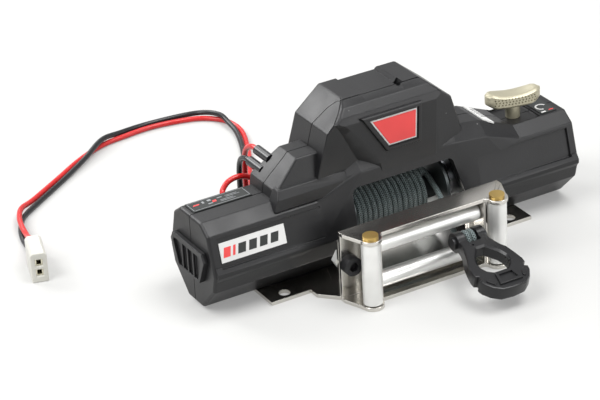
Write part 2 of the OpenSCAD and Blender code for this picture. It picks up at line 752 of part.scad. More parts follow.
// Rollers turn on fixed pins
roller_bevel = 0.2;
module roller(d, length, bore) {
    difference() {
        rotate_extrude() polygon([
            [0, 0], [d / 2 - roller_bevel, 0], [d / 2, roller_bevel], [d / 2, length - roller_bevel],
            [d / 2 - roller_bevel, length], [0, length]]);
        translate([0, 0, -over]) cylinder(d = bore, h = length + 2 * over);
    }
}
roller_end_gap = 0.12;
module upright_roller(side) color([0.86, 0.87, 0.88]) {
    length = fairlead_height - 2 * plate_t - 2 * roller_end_gap;
    translate([side * upright_pitch / 2, -upright_y, plate_t + roller_end_gap])
        roller(upright_d, length, upright_pin_d + 2 * running_gap);
}
module level_roller(z) color([0.86, 0.87, 0.88]) {
    length = side_wall_gap - 2 * roller_end_gap;
    translate([-length / 2, -level_y, z]) rotate([0, 90, 0])
        roller(level_d, length, level_pin_d + 2 * running_gap);
}
module roller_left() upright_roller(-1);
module roller_right() upright_roller(1);
module roller_upper() level_roller(upper_roller_z);
module roller_lower() level_roller(lower_roller_z);
module upright_pins() color([0.78, 0.62, 0.3]) {
    for (side = [-1, 1]) translate([side * upright_pitch / 2, -upright_y, 0]) {
        cylinder(d = upright_pin_d, h = fairlead_height);
        translate([0, 0, fairlead_height]) cylinder(d = pin_head_d, h = pin_head_h);
    }
}
level_pin_end = side_wall_gap / 2 + side_wall_t;
rivet_h = 0.3;
rivet_rim = 0.3;
module level_pins() color([0.6, 0.61, 0.62]) {
    for (z = [lower_roller_z, upper_roller_z]) translate([0, -level_y, z]) {
        rod(-level_pin_end, level_pin_end, level_pin_d);
        for (side = [0, 1]) mirror([side, 0, 0])
            rod(level_pin_end, level_pin_end + rivet_h, level_pin_d + 2 * rivet_rim);
    }
}

// Drum supports stand between the shells at both sides of the bay
bush_wall = 0.7;
bush_d = journal_d + 2 * running_gap + 2 * bush_wall;
bush_seat_d = bush_d + 2 * seat_gap;
bush_flange_d = bush_d + 2 * bush_wall;
bush_flange_t = 0.5;
module bearing_plate(x_low) {
    difference() {
        on_axis() along_x(x_low, x_low + bearing_plate_t) body_section(wall + seat_gap);
        on_axis() rod(x_low - over, x_low + bearing_plate_t + over, bush_seat_d);
    }
}
module bearing_plate_left() color([0.6, 0.61, 0.63]) bearing_plate(bay_left);
module bearing_plate_right() color([0.6, 0.61, 0.63]) bearing_plate(bay_right - bearing_plate_t);
module drum_bush(x_plate, toward) {
    on_axis() difference() {
        union() {
            rod(x_plate, x_plate + bearing_plate_t, bush_d);
            translate([toward > 0 ? x_plate + bearing_plate_t : x_plate - bush_flange_t, 0, 0])
                rod(0, bush_flange_t, bush_flange_d);
        }
        rod(x_plate - over, x_plate + bearing_plate_t + over, journal_d + 2 * running_gap);
    }
}
module drum_bush_left() color([0.72, 0.52, 0.28]) drum_bush(bay_left, 1);
module drum_bush_right() color([0.72, 0.52, 0.28]) drum_bush(bay_right - bearing_plate_t, -1);

// Screws from under the base plate into bosses in the housing's floor
module base_screws() color([0.1, 0.1, 0.11]) {
    for (x = base_screw_xs, side = [-1, 1]) translate([x, side * base_screw_y, 0]) {
        cylinder(d = base_screw_d, h = base_screw_h);
        cylinder(d = base_screw_head_d, h = base_screw_head_h);
    }
}

// Drum with its journals; the right one carries the output carrier on a reduced stub
drum_bore_gap = 0.25;
drum_bore_d = shaft_d + 2 * drum_bore_gap;
drum_shoulder_d = 7.4;
drum_shoulder_x = bay_right - bearing_plate_t - bush_flange_t - pass_gap;
drum_left_x = bay_left + bearing_plate_t + bush_flange_t + pass_gap;
drum_right_x = drum_shoulder_x - drum_shoulder_length;
drum_flange_d = round_room - 2 * flange_gap;
stub_d = 4;
gear_end_wall = 1;
side_gap = 0.3;
gear_left_x = bay_right + wall + seat_gap;
carrier_left_x = gear_left_x + gear_end_wall + side_gap;
module drum() color([0.55, 0.56, 0.58]) on_axis() {
    difference() {
        union() {
            rod(drum_left_x, drum_right_x, drum_core_d);
            rod(drum_left_x, drum_left_x + drum_flange_t, drum_flange_d);
            rod(drum_right_x - drum_flange_t, drum_right_x, drum_flange_d);
            rod(bay_left + seat_gap, drum_left_x, journal_d);
            rod(drum_right_x, drum_shoulder_x, drum_shoulder_d);
            rod(drum_shoulder_x, bay_right + wall, journal_d);
            rod(bay_right + wall, carrier_left_x + carrier_t, stub_d);
        }
        rod(bay_left - over, carrier_left_x + carrier_t + over, drum_bore_d);
    }
}

// Rope wound side by side: a scalloped outline turned about the drum axis
wrap_gap = 0.12;
wrap_steps = 4;
wrap_pitch = rope_d + wrap_gap;
wrap_left_x = drum_left_x + drum_flange_t;
wrap_room = drum_right_x - drum_flange_t - bare_length - wrap_left_x;
wrap_turns = round(wrap_room / wrap_pitch);
module rope_wraps() color([0.16, 0.2, 0.22]) on_axis() {
    outer = wrap_d / 2;
    scallops = [for (i = [0:wrap_turns - 1], k = [0:wrap_steps])
        [outer - rope_d / 2 + rope_d / 2 * sin(180 * k / wrap_steps), (i + k / wrap_steps) * wrap_pitch]];
    difference() {
        translate([wrap_left_x, 0, 0]) rotate([0, 90, 0]) rotate_extrude()
            polygon(concat([[drum_core_d / 2, 0]], scallops, [[drum_core_d / 2, wrap_turns * wrap_pitch]]));
        rod(wrap_left_x - over, drum_right_x, drum_core_d);
    }
}

// Round tube swept along a route, with one ring at each point, turned without twist
function unit(v) = v / norm(v);
function directions(path) =
    [for (i = [0:len(path) - 1]) unit(path[min(i + 1, len(path) - 1)] - path[max(i - 1, 0)])];
function carried(dirs, u, i = 0) =
    i == len(dirs) ? [] : let (v = unit(u - dirs[i] * (u * dirs[i]))) concat([v], carried(dirs, v, i + 1));
tube_sides = 8;
half_side = 0.5;
module tube(path, d) {
    dirs = directions(path);
    ups = carried(dirs, [0, 0, 1]);
    last = len(path) - 1;
    skin = [for (i = [0:last], k = [0:tube_sides - 1])
        let (a = 360 * (k + half_side) / tube_sides)
        path[i] + d / 2 * (cos(a) * ups[i] + sin(a) * cross(dirs[i], ups[i]))];
    polyhedron(skin, concat(
        [[for (k = [0:tube_sides - 1]) k]],
        [[for (k = [tube_sides - 1:-1:0]) last * tube_sides + k]],
        [for (i = [0:last - 1], k = [0:tube_sides - 1])
            let (a = i * tube_sides + k, b = i * tube_sides + (k + 1) % tube_sides)
            [a, a + tube_sides, b + tube_sides, b]]));
}

// Rope from the bare end of the drum to the hook, over the lower roller: its course as [y, z], and how far
// it has crossed over toward the hook at each point
hook_half = ear_gap / 2 + ear_t;
clevis_head_t = 0.7;
hook_x = side_wall_gap / 2 - hook_side_gap - clevis_head_t - hook_half;
hook_pin_y = hook_pin_reach - fairlead_back_y;
lead_start_x = wrap_left_x + wrap_turns * wrap_pitch + rope_d / 2 + wrap_gap;
rope_lead_course = [
    [3.2, 14.6], [1, 15.8], [-1.6, 15.45], [-5, 13.9], [-8.6, 12.2], [-12, 10.7], [-15.4, 9.3],
    [-18.4, 8.4], [-20.4, 8.2], [-21.4, 8.4], [-22, 8.75]];
crossed_shares = [0, 0, 0, 0, 0.12, 0.42, 0.71, 0.88, 0.95, 0.98, 1];
rope_lead_route = [for (i = [0:len(rope_lead_course) - 1])
    [between(lead_start_x, hook_x, crossed_shares[i]), rope_lead_course[i][0], rope_lead_course[i][1]]];
module rope_lead() color([0.2, 0.25, 0.27]) tube(rope_lead_route, rope_d);

module in_hook() translate([hook_x, -hook_pin_y, hook_pin_z]) rotate([hook_droop, 0, 0]) children();
eye_turns = 2;
eye_bore = clevis_pin_d + 2 * running_gap;
module rope_eye() color([0.2, 0.25, 0.27]) {
    translate([hook_x, -hook_pin_y, hook_pin_z]) difference() {
        union() for (i = [0:eye_turns - 1])
            translate([(i - eye_turns / 2) * rope_d, 0, 0]) rotate([0, 90, 0]) rotate_extrude()
                translate([eye_bore / 2 + rope_d / 2, rope_d / 2]) circle(d = rope_d);
        rod(-rope_d * eye_turns, rope_d * eye_turns, eye_bore);
    }
}

// Hook body: two ears around the pin, then a ring whose window lies nearer to the pin than the ring's centre
hook_ear_r = 2.3;
ear_gap_reach = 2.65;
hook_waist_half = 4.1;
hook_waist = 4.2;
window_reach = 9.5;
window_tip = 4.7;
window_tip_half = 1;
window_side_share = 0.94;
window_side_reach = 8.2;
notch_r = 0.7;
notch_reach = 13.6;
hook_frame_h = 0.35;
hook_frame_reach = 15.6;
hook_frame_depth = 4.2;
hook_frame_half = 2.4;
hook_frame_rim = 0.6;
module hook_outline() {
    difference() {
        union() {
            translate([0, -ring_reach]) circle(r = ring_r);
            polygon([
                [-hook_half, 0], [hook_half, 0], [hook_half, -ear_gap_reach], [hook_waist_half, -hook_waist],
                [ring_r, -ring_reach], [-ring_r, -ring_reach],
                [-hook_waist_half, -hook_waist], [-hook_half, -ear_gap_reach]]);
        }
        translate([0, -window_reach]) circle(r = ring_hole_half);
        polygon([
            [-window_tip_half, -window_tip], [window_tip_half, -window_tip],
            [ring_hole_half * window_side_share, -window_side_reach],
            [-ring_hole_half * window_side_share, -window_side_reach]]);
        for (side = [-1, 1]) translate([side * (ring_r + notch_r / 2), -notch_reach]) circle(r = notch_r);
    }
}
module frame_outline(rim) {
    near = hook_frame_half - rim;
    far = hook_frame_half + hook_frame_rim - rim;
    depth = hook_frame_depth / 2 - rim;
    polygon([[-near, depth], [near, depth], [far, -depth], [-far, -depth]]);
}
lock_screw_x = -1.2;
lock_screw_y = -3.7;
lock_screw_d = 1.2;
lock_screw_depth = 1;
module hook() color([0.1, 0.1, 0.11]) in_hook() {
    difference() {
        union() {
            translate([0, 0, -hook_t / 2]) linear_extrude(hook_t) hook_outline();
            rod(-hook_half, hook_half, 2 * hook_ear_r);
            translate([0, -hook_frame_reach, hook_t / 2]) linear_extrude(hook_frame_h) difference() {
                frame_outline(0);
                frame_outline(hook_frame_rim);
            }
        }
        translate([-ear_gap / 2, -ear_gap_reach, -hook_ear_r - over])
            cube([ear_gap, ear_gap_reach + hook_ear_r + over, 2 * hook_ear_r + 2 * over]);
        rod(-hook_half - over, hook_half + over, clevis_pin_d);
        translate([lock_screw_x, lock_screw_y, hook_t / 2 - lock_screw_depth])
            cylinder(d = lock_screw_d, h = hook_t);
    }
}
module pin_lock_screw() color([0.3, 0.3, 0.31]) in_hook() {
    translate([lock_screw_x, lock_screw_y, hook_t / 2 - lock_screw_depth]) difference() {
        cylinder(d = lock_screw_d, h = lock_screw_depth);
        translate([0, 0, lock_screw_depth / 2]) cylinder(d = lock_screw_d / 2, h = lock_screw_depth, $fn = 6);
    }
}
clevis_head_d = 2.8;
module clevis_pin() color([0.12, 0.12, 0.13]) in_hook() {
    rod(-hook_half - clevis_head_t, hook_half + clevis_head_t, clevis_pin_d);
    rod(hook_half, hook_half + clevis_head_t, clevis_head_d);
    rod(-hook_half - clevis_head_t, -hook_half, clevis_head_d);
}

// The motor fills its side of the housing, from the coupling at the drum's bulkhead to the terminals
nose_h = 1.2;
nose_d = 6;
terminal_reach = 1.8;
coupling_length = 2.6;
motor_d = round_room - 2 * motor_gap;
motor_front_x = bay_left - wall - coupling_length - side_gap - nose_h;
bell_back_x = wall + motor_end_gap + terminal_reach - half_length;
motor_back_x = bell_back_x + end_bell_length;
motor_length = motor_front_x - motor_back_x;
armature_d = motor_d - 2 * can_wall - 2 * magnet_t - 2 * air_gap;
shaft_hole_d = shaft_d + 2 * running_gap;
module motor_can() color([0.7, 0.71, 0.72]) on_axis() {
    difference() {
        union() {
            rod(motor_back_x, motor_front_x, motor_d);
            rod(motor_front_x, motor_front_x + nose_h, nose_d);
        }
        rod(motor_back_x - over, motor_front_x - can_wall, motor_d - 2 * can_wall);
        rod(motor_front_x - 2 * can_wall, motor_front_x + nose_h + over, shaft_hole_d);
    }
}
magnet_gap_half = 2.4;
module motor_magnets() color([0.25, 0.25, 0.26]) on_axis() {
    difference() {
        rod(motor_back_x + end_bell_length, motor_front_x - can_wall - side_gap, motor_d - 2 * can_wall);
        rod(motor_back_x, motor_front_x, motor_d - 2 * can_wall - 2 * magnet_t);
        translate([motor_back_x, -motor_d, -magnet_gap_half])
            cube([motor_length, 2 * motor_d, 2 * magnet_gap_half]);
    }
}
bell_wall = 1.8;
bell_pocket_d = motor_d - 2 * bell_wall;
bell_floor = 0.9;
brush_w = 1.4;
commutator_d = 4.2;
terminal_y_share = 0.2125;
terminal_z_share = 0.2875;
terminal_y = motor_d * terminal_y_share;
terminal_z = motor_d * terminal_z_share;
terminal_w = 1.6;
terminal_t = 0.4;
module motor_end_bell() color([0.9, 0.9, 0.86]) on_axis() {
    difference() {
        rod(bell_back_x, motor_back_x, motor_d);
        rod(bell_back_x + bell_floor, motor_back_x + over, bell_pocket_d);
        rod(bell_back_x - over, motor_back_x, shaft_hole_d);
        for (side = [-1, 1])
            translate([bell_back_x - over, side * terminal_y - terminal_w / 2, terminal_z - terminal_t / 2])
                cube([end_bell_length, terminal_w, terminal_t]);
    }
}
module motor_brushes() color([0.3, 0.28, 0.26]) on_axis() {
    low = commutator_d / 2 + running_gap;
    for (side = [0, 1]) mirror([0, side, 0])
        translate([bell_back_x + bell_floor, low, -brush_w / 2])
            cube([brush_w, bell_pocket_d / 2 - low - seat_gap, brush_w]);
}
module motor_terminals() color([0.8, 0.75, 0.55]) on_axis() {
    for (side = [-1, 1])
        translate([bell_back_x - terminal_reach, side * terminal_y, terminal_z])
            translate([0, -terminal_w / 2, -terminal_t / 2])
                cube([terminal_reach + bell_floor, terminal_w, terminal_t]);
}
coupling_d = 3.8;
coupling_x = motor_front_x + nose_h + side_gap;
shaft_joint_x = coupling_x + coupling_length / 2;
module motor_shaft() color([0.75, 0.76, 0.78]) on_axis()
    rod(bell_back_x - side_gap, shaft_joint_x, shaft_d);
module shaft_coupling() color([0.72, 0.6, 0.32]) on_axis() difference() {
    rod(coupling_x, coupling_x + coupling_length, coupling_d);
    rod(coupling_x - over, coupling_x + coupling_length + over, shaft_d);
}
module drive_shaft() color([0.75, 0.76, 0.78]) on_axis()
    rod(shaft_joint_x, gear_right_x + cover_t - side_gap, shaft_d);
commutator_length = 2;
core_slots = 5;
slot_w = 1;
coil_t = 1.6;
module commutator() color([0.75, 0.5, 0.3]) on_axis() difference() {
    low = bell_back_x + bell_floor + side_gap / 2;
    rod(low, low + commutator_length, commutator_d);
    rod(bell_back_x, motor_back_x + over, shaft_d);
}
module armature() color([0.6, 0.35, 0.2]) on_axis() {
    low = motor_back_x + end_bell_length + coil_t;
    high = motor_front_x - 2 * coil_t - side_gap;
    difference() {
        union() {
            rod(low, high, armature_d);
            rod(low - coil_t, high + coil_t, armature_d - coil_t);
        }
        for (i = [0:core_slots - 1]) rotate([360 * i / core_slots, 0, 0])
            translate([low - coil_t - over, -slot_w / 2, armature_d / 4])
                cube([motor_length, slot_w, armature_d]);
        rod(low - coil_t - over, high + coil_t + over, shaft_d);
    }
}

// Two planetary stages share one ring gear; teeth are involutes about each wheel's own centre
pressure_angle = 20;
tooth_play = 0.03;
addendum_share = 0.8;
root_share = 1.2;
planet_angles = [90, 210, 330];
ring_teeth = sun_teeth + 2 * planet_teeth;
gear_case_d = round_room - 2 * case_gap;
ring_outer_d = gear_case_d - 2 * gear_case_wall - 2 * seat_gap;
gear_module = (ring_outer_d - 2 * ring_rim) / (ring_teeth + 2 * root_share);
stage_radius = gear_module * (sun_teeth + planet_teeth) / 2;

// The gears share the room between the carriers, the spindle that locks the ring and the case's cover
cover_t = 1.2;
out_gear_x = carrier_left_x + carrier_t + side_gap;
case_end_x = end_screw_x - boss_d / 2 - gear_end_gap;
teeth_end_x = case_end_x - cover_t - side_gap - spindle_d - lever_gap;
gear_w = (teeth_end_x - out_gear_x - carrier_t - 3 * side_gap) / 2;
in_carrier_x = out_gear_x + gear_w + side_gap;
in_gear_x = in_carrier_x + carrier_t + side_gap;
lever_x = teeth_end_x + lever_gap;
ring_left_x = carrier_left_x;
ring_right_x = lever_x + spindle_d;
gear_right_x = ring_right_x + side_gap;
function involute(angle) = tan(angle) * 180 / PI - angle;
function tooth_half_angle(teeth, r, play) =
    let (pitch_r = gear_module * teeth / 2, base_r = pitch_r * cos(pressure_angle))
    90 / teeth - play / pitch_r * 180 / PI
        + involute(pressure_angle) - involute(acos(base_r / max(r, base_r)));
function gear_points(teeth, root_r, tip_r, play) =
    let (pitch_r = gear_module * teeth / 2, base_r = pitch_r * cos(pressure_angle),
        radii = [root_r, max(root_r, base_r), pitch_r, (pitch_r + tip_r) / 2, tip_r], last = len(radii) - 1)
    [for (i = [0:teeth - 1], k = [0:2 * last + 1])
        let (up = k <= last, r = radii[up ? k : 2 * last + 1 - k], half = tooth_half_angle(teeth, r, play),
            a = planet_angles[0] + 360 * i / teeth + (up ? -half : half))
        [r * cos(a), r * sin(a)]];
module gear_outline(teeth) {
    pitch_r = gear_module * teeth / 2;
    root = root_share * gear_module;
    tip = addendum_share * gear_module;
    polygon(gear_points(teeth, pitch_r - root, pitch_r + tip, tooth_play));
}
module ring_space_outline() {
    pitch_r = gear_module * ring_teeth / 2;
    root = root_share * gear_module;
    tip = addendum_share * gear_module;
    polygon(gear_points(ring_teeth, pitch_r - tip, pitch_r + root, -tooth_play));
}
blade_depth = 0.5;
module ring_gear() color([0.6, 0.6, 0.62]) on_axis() {
    bore_d = gear_module * (ring_teeth + 1);
    lock_low = ring_outer_d / 2 - blade_depth;
    blade_room = (blade_t + side_gap) / 2;
    difference() {
        rod(ring_left_x, ring_right_x, ring_outer_d);
        along_x(ring_left_x - over, teeth_end_x) ring_space_outline();
        rod(teeth_end_x - seat_gap, ring_right_x + over, bore_d);
        difference() {
            rod(lever_x - blade_room, lever_x + blade_room, ring_outer_d + over);
            rod(lever_x - blade_t - over, lever_x + blade_t + over, 2 * lock_low);
        }
        translate([lever_x, 0, lock_low]) cylinder(d = spindle_d + side_gap, h = ring_outer_d);
    }
}
module sun_gear() color([0.72, 0.6, 0.32]) on_axis() difference() {
    along_x(in_gear_x, in_gear_x + gear_w) gear_outline(sun_teeth);
    rod(in_gear_x - over, in_gear_x + gear_w + over, shaft_d);
}
carrier_d = 2 * stage_radius + 2 * planet_pin_d;
module carrier(x_low, bore) {
    difference() {
        rod(x_low, x_low + carrier_t, carrier_d);
        rod(x_low - over, x_low + carrier_t + over, bore);
    }
    for (a = planet_angles) rotate([a - 90, 0, 0]) translate([0, 0, stage_radius])
        rod(x_low + carrier_t, x_low + carrier_t + side_gap + gear_w, planet_pin_d);
}
module output_carrier() color([0.65, 0.66, 0.68]) on_axis() carrier(carrier_left_x, stub_d);
module input_carrier() color([0.65, 0.66, 0.68]) on_axis() difference() {
    union() {
        carrier(in_carrier_x, shaft_hole_d);
        along_x(out_gear_x, in_carrier_x) gear_outline(sun_teeth);
    }
    rod(out_gear_x - over, in_carrier_x + carrier_t + over, shaft_hole_d);
}
module planet(x_low, index) color([0.82, 0.8, 0.72]) on_axis() {
    a = planet_angles[index];
    translate([0, stage_radius * cos(a), stage_radius * sin(a)]) difference() {
        along_x(x_low, x_low + gear_w) gear_outline(planet_teeth);
        rod(x_low - over, x_low + gear_w + over, planet_pin_d + 2 * running_gap);
    }
}
module input_planet_a() planet(in_gear_x, 0);
module input_planet_b() planet(in_gear_x, 1);
module input_planet_c() planet(in_gear_x, 2);
module output_planet_a() planet(out_gear_x, 0);
module output_planet_b() planet(out_gear_x, 1);
module output_planet_c() planet(out_gear_x, 2);
module gear_case() color([0.45, 0.46, 0.48]) on_axis() difference() {
    rod(gear_left_x, gear_right_x, gear_case_d);
    rod(gear_left_x + gear_end_wall, gear_right_x + over, gear_case_d - 2 * gear_case_wall);
    rod(gear_left_x - over, gear_right_x, stub_d + 2 * side_gap);
    translate([lever_x, 0, 0]) cylinder(d = spindle_hole_d, h = gear_case_d);
}
module gear_case_cover() color([0.45, 0.46, 0.48]) on_axis() difference() {
    rod(gear_right_x, gear_right_x + cover_t, gear_case_d);
    rod(gear_right_x - over, gear_right_x + cover_t + over, shaft_hole_d);
}

// The lever turns a spindle whose blade locks the ring gear
blade_t = 0.8;
lever_boss_d = 4;
saddle_share = 0.3;
lever_nose_share = 0.3;
module lever_plan() {
    nose = lever_length * lever_nose_share / 2;
    polygon([
        [-lever_length / 2, -lever_width / 4], [-lever_length / 2 + nose, -lever_width / 2],
        [lever_length / 2 - nose, -lever_width / 2], [lever_length / 2, -lever_width / 4],
        [lever_length / 2, lever_width / 4], [lever_length / 2 - nose, lever_width / 2],
        [-lever_length / 2 + nose, lever_width / 2], [-lever_length / 2, lever_width / 4]]);
}
module clutch_lever() color([0.8, 0.77, 0.66]) {
    saddle_r = lever_length;
    low_z = body_top_z + lever_lift;
    translate([lever_x, 0, 0]) rotate([0, 0, lever_yaw]) difference() {
        union() {
            translate([0, 0, low_z]) linear_extrude(lever_height) lever_plan();
            translate([0, 0, body_top_z - well_depth + seat_gap])
                cylinder(d = lever_boss_d, h = lever_lift + well_depth - seat_gap);
        }
        translate([0, lever_width, low_z + lever_height * (1 - saddle_share) + saddle_r]) rotate([90, 0, 0])
            cylinder(r = saddle_r, h = 2 * lever_width, $fn = 128);
        translate([0, 0, body_top_z - over])
            cylinder(d = spindle_d, h = lever_lift + lever_height / 2 + over);
    }
}
collar_d = 3.6;
collar_h = 0.7;
module clutch_spindle() color([0.7, 0.71, 0.73]) {
    blade_z = axis_z + ring_outer_d / 2 - blade_depth + seat_gap;
    body_z = axis_z + gear_case_d / 2 - gear_case_wall + seat_gap;
    end_z = body_top_z + lever_lift + lever_height / 2;
    translate([lever_x, 0, 0]) {
        translate([0, 0, body_z]) cylinder(d = spindle_d, h = end_z - body_z);
        translate([0, 0, axis_z + gear_case_d / 2 + 2 * seat_gap]) cylinder(d = collar_d, h = collar_h);
        translate([2 * seat_gap - spindle_d / 2, -blade_t / 2, blade_z])
            cube([spindle_d - 4 * seat_gap, blade_t, body_z - blade_z]);
    }
}

// Sleeves point straight back out of the block; the leads drop behind it and lie on the table to the plug
red_exit = [-25.2, 9.6, 27.6];
black_exit = [-27.2, 9.6, 25.4];
lead_exits = [red_exit, black_exit];
module lead_sleeves() color([0.09, 0.09, 0.1]) {
    for (at = lead_exits) translate(at) rotate([90, 0, 0]) cylinder(d = sleeve_d, h = sleeve_length);
}
red_route = [
    [-25.2, 9.6, 27.6], [-25.2, 12, 27.4], [-25.2, 14.5, 26], [-25, 16.3, 23], [-24.8, 17, 18],
    [-24.5, 17.3, 12], [-24.1, 18, 7], [-23, 20, 3], [-21.2, 24, 1], [-18.4, 29.6, 0.7], [-12.4, 39.6, 0.7],
    [-6.4, 49.7, 0.7], [-1.8, 58.7, 0.7], [1.5, 67.3, 0.7], [1.9, 73, 0.7], [0.2, 77.5, 0.7],
    [-4.8, 81.4, 0.7], [-15, 83.5, 0.7], [-23.5, 82.9, 0.7], [-30.3, 81.7, 0.7], [-38.4, 77.7, 0.7],
    [-48, 71.2, 0.7], [-57, 64.8, 1], [-61.8, 60.8, 2], [-64.3, 56.6, 2.15], [-65.7, 52.2, 2.15],
    [-66.6, 47.6, 2.2], [-67.5, 43.8, 3.4], [-68.35, 41, 4.6], [-69.33, 37.77, 4.95]];
black_route = [
    [-27.2, 9.6, 25.4], [-27.2, 11.8, 25.2], [-27.2, 14, 24], [-27, 15.4, 21], [-26.8, 16, 16],
    [-26.4, 16.5, 10], [-26, 17.4, 5.5], [-25, 19.6, 2.2], [-23.2, 23.6, 0.8], [-19.7, 30.3, 0.7],
    [-13.6, 40.4, 0.7], [-7.6, 50.3, 0.7], [-3, 59.3, 0.7], [0.1, 67.7, 0.9], [0.7, 73, 1.5],
    [0.2, 77.5, 2.2], [-3.7, 82.6, 1.5], [-15, 85.3, 0.9], [-24, 84.1, 1.4], [-30.3, 81.7, 2.2],
    [-37.7, 76.4, 1.3], [-47, 70, 0.7], [-57.4, 62.6, 0.7], [-62.4, 58.6, 0.7], [-65.2, 54.2, 0.7],
    [-66.9, 49.8, 0.7], [-67.7, 46, 0.7], [-68.1, 43.2, 1.3], [-68.5, 40.9, 2.2], [-69.33, 37.77, 2.45]];
module lead_red() color([0.85, 0.1, 0.1]) tube(red_route, lead_d);
module lead_black() color([0.08, 0.08, 0.09]) tube(black_route, lead_d);

// A short motor lead loops out of the housing's rear slope and back in at the block's foot
jumper_hole_x = [-34.6, -25.4];
jumper_z = 19.2;
jumper_route = [
    [-34.6, 7, 19.2], [-34.6, 9.2, 19.3], [-34.3, 10.3, 20.2], [-32.9, 10.9, 21.7], [-31, 11, 22.5],
    [-29, 11, 22.5], [-27.1, 10.9, 21.7], [-25.7, 10.3, 20.2], [-25.4, 9.2, 19.3], [-25.4, 7, 19.2]];
module motor_lead_red() color([0.85, 0.1, 0.1]) tube(jumper_route, lead_d);

// Two-way plug standing on its narrow edge, with one contact over the other
plug_at = [-69.33, 37.77, 0];
plug_yaw = -17;
plug_bevel = 0.6;
socket_w = 1.6;
socket_depth = 7;
contact_wall = 0.25;
low_contact_z = 2.45;
contact_zs = [low_contact_z, low_contact_z + plug_pitch];
module plug_housing() color([0.93, 0.92, 0.87]) translate(plug_at) rotate([0, 0, plug_yaw]) difference() {
    translate([0, 0, plug_w / 2]) along_y(-plug_length, 0) polygon([
        [-plug_h / 2, -plug_w / 2], [plug_h / 2, -plug_w / 2],
        [plug_h / 2, plug_w / 2 - plug_bevel], [plug_h / 2 - plug_bevel, plug_w / 2],
        [plug_bevel - plug_h / 2, plug_w / 2], [-plug_h / 2, plug_w / 2 - plug_bevel]]);
    for (z = contact_zs) translate([-socket_w / 2, -plug_length - over, z - socket_w / 2])
        cube([socket_w, socket_depth + over, socket_w]);
}
module plug_contacts() color([0.78, 0.74, 0.55]) translate(plug_at) rotate([0, 0, plug_yaw]) {
    for (z = contact_zs) translate([-socket_w / 2, plug_bevel - plug_length, z - socket_w / 2]) difference() {
        cube([socket_w, socket_depth - plug_bevel, socket_w]);
        translate([contact_wall, -over, contact_wall])
            cube([socket_w - 2 * contact_wall, socket_depth, socket_w - 2 * contact_wall]);
    }
}

front_housing();
rear_housing();
end_plate();
badge_plate();
side_label();
top_label();
clutch_labels();
housing_screws();
mount_plate();
fairlead_frame();
fairlead_bolts();
fairlead_nuts();
roller_left();
roller_right();
roller_upper();
roller_lower();
upright_pins();
level_pins();
bearing_plate_left();
bearing_plate_right();
base_screws();
drum_bush_left();
drum_bush_right();
drum();
rope_wraps();
rope_lead();
rope_eye();
hook();
clevis_pin();
pin_lock_screw();
motor_can();
motor_magnets();
motor_end_bell();
motor_brushes();
motor_shaft();
armature();
commutator();
motor_terminals();
shaft_coupling();
drive_shaft();
gear_case();
gear_case_cover();
ring_gear();
sun_gear();
input_carrier();
output_carrier();
input_planet_a();
input_planet_b();
input_planet_c();
output_planet_a();
output_planet_b();
output_planet_c();
clutch_lever();
clutch_spindle();
lead_red();
lead_black();
motor_lead_red();
lead_sleeves();
plug_housing();
plug_contacts();
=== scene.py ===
import json
import math
import random

import bmesh
import bpy
from mathutils import Matrix, Vector


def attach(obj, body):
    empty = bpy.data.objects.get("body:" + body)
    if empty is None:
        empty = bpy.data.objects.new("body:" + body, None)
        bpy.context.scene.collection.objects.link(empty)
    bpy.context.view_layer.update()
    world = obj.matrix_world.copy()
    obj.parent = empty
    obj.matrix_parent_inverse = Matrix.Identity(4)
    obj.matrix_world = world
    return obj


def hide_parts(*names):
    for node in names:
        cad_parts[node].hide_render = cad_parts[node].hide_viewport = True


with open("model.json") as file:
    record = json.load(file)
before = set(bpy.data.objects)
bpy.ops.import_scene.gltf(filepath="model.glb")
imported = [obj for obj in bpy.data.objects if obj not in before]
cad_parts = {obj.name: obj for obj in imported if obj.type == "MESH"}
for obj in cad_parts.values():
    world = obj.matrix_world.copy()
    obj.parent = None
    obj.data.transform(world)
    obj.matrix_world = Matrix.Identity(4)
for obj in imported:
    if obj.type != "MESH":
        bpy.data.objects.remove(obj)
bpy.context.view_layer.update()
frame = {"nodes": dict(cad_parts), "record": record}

random.seed(7)
MM = 0.001
NODES = frame["nodes"]
AXIS_Z = 11.65


def link(name, data):
    obj = bpy.data.objects.new(name, data)
    bpy.context.scene.collection.objects.link(obj)
    return obj


# Camera at the photo's viewing angle: degrees, pixels, and metres from the origin
view_azimuth, view_elevation, view_roll = -28.80, 27.77, 3.22
focal_length, picture_width, sensor_width = 2695.78, 600, 36
camera_place = Vector((-0.27535, -0.46377, 0.29627))
near_limit = 0.01
az, el, roll = (math.radians(v) for v in (view_azimuth, view_elevation, view_roll))
back = Vector((math.sin(az) * math.cos(el), -math.cos(az) * math.cos(el), math.sin(el)))
right = (-back).cross(Vector((0, 0, 1))).normalized()
up = right.cross(-back)
cam_x = right * math.cos(roll) - up * math.sin(roll)
cam_y = right * math.sin(roll) + up * math.cos(roll)
cam_data = bpy.data.cameras.new("camera")
cam_data.sensor_width = sensor_width
cam_data.lens = focal_length * sensor_width / picture_width
cam_data.clip_start = near_limit
cam = link("camera", cam_data)
cam.matrix_world = Matrix.Translation(camera_place) @ Matrix((cam_x, cam_y, back)).transposed().to_4x4()
bpy.context.scene.camera = cam


# Meshes
def from_bmesh(name, bm):
    mesh = bpy.data.meshes.new(name)
    bmesh.ops.recalc_face_normals(bm, faces=bm.faces)
    bm.to_mesh(mesh)
    bm.free()
    return link(name, mesh)


def in_metres(points):
    return [Vector(p) * MM for p in points]


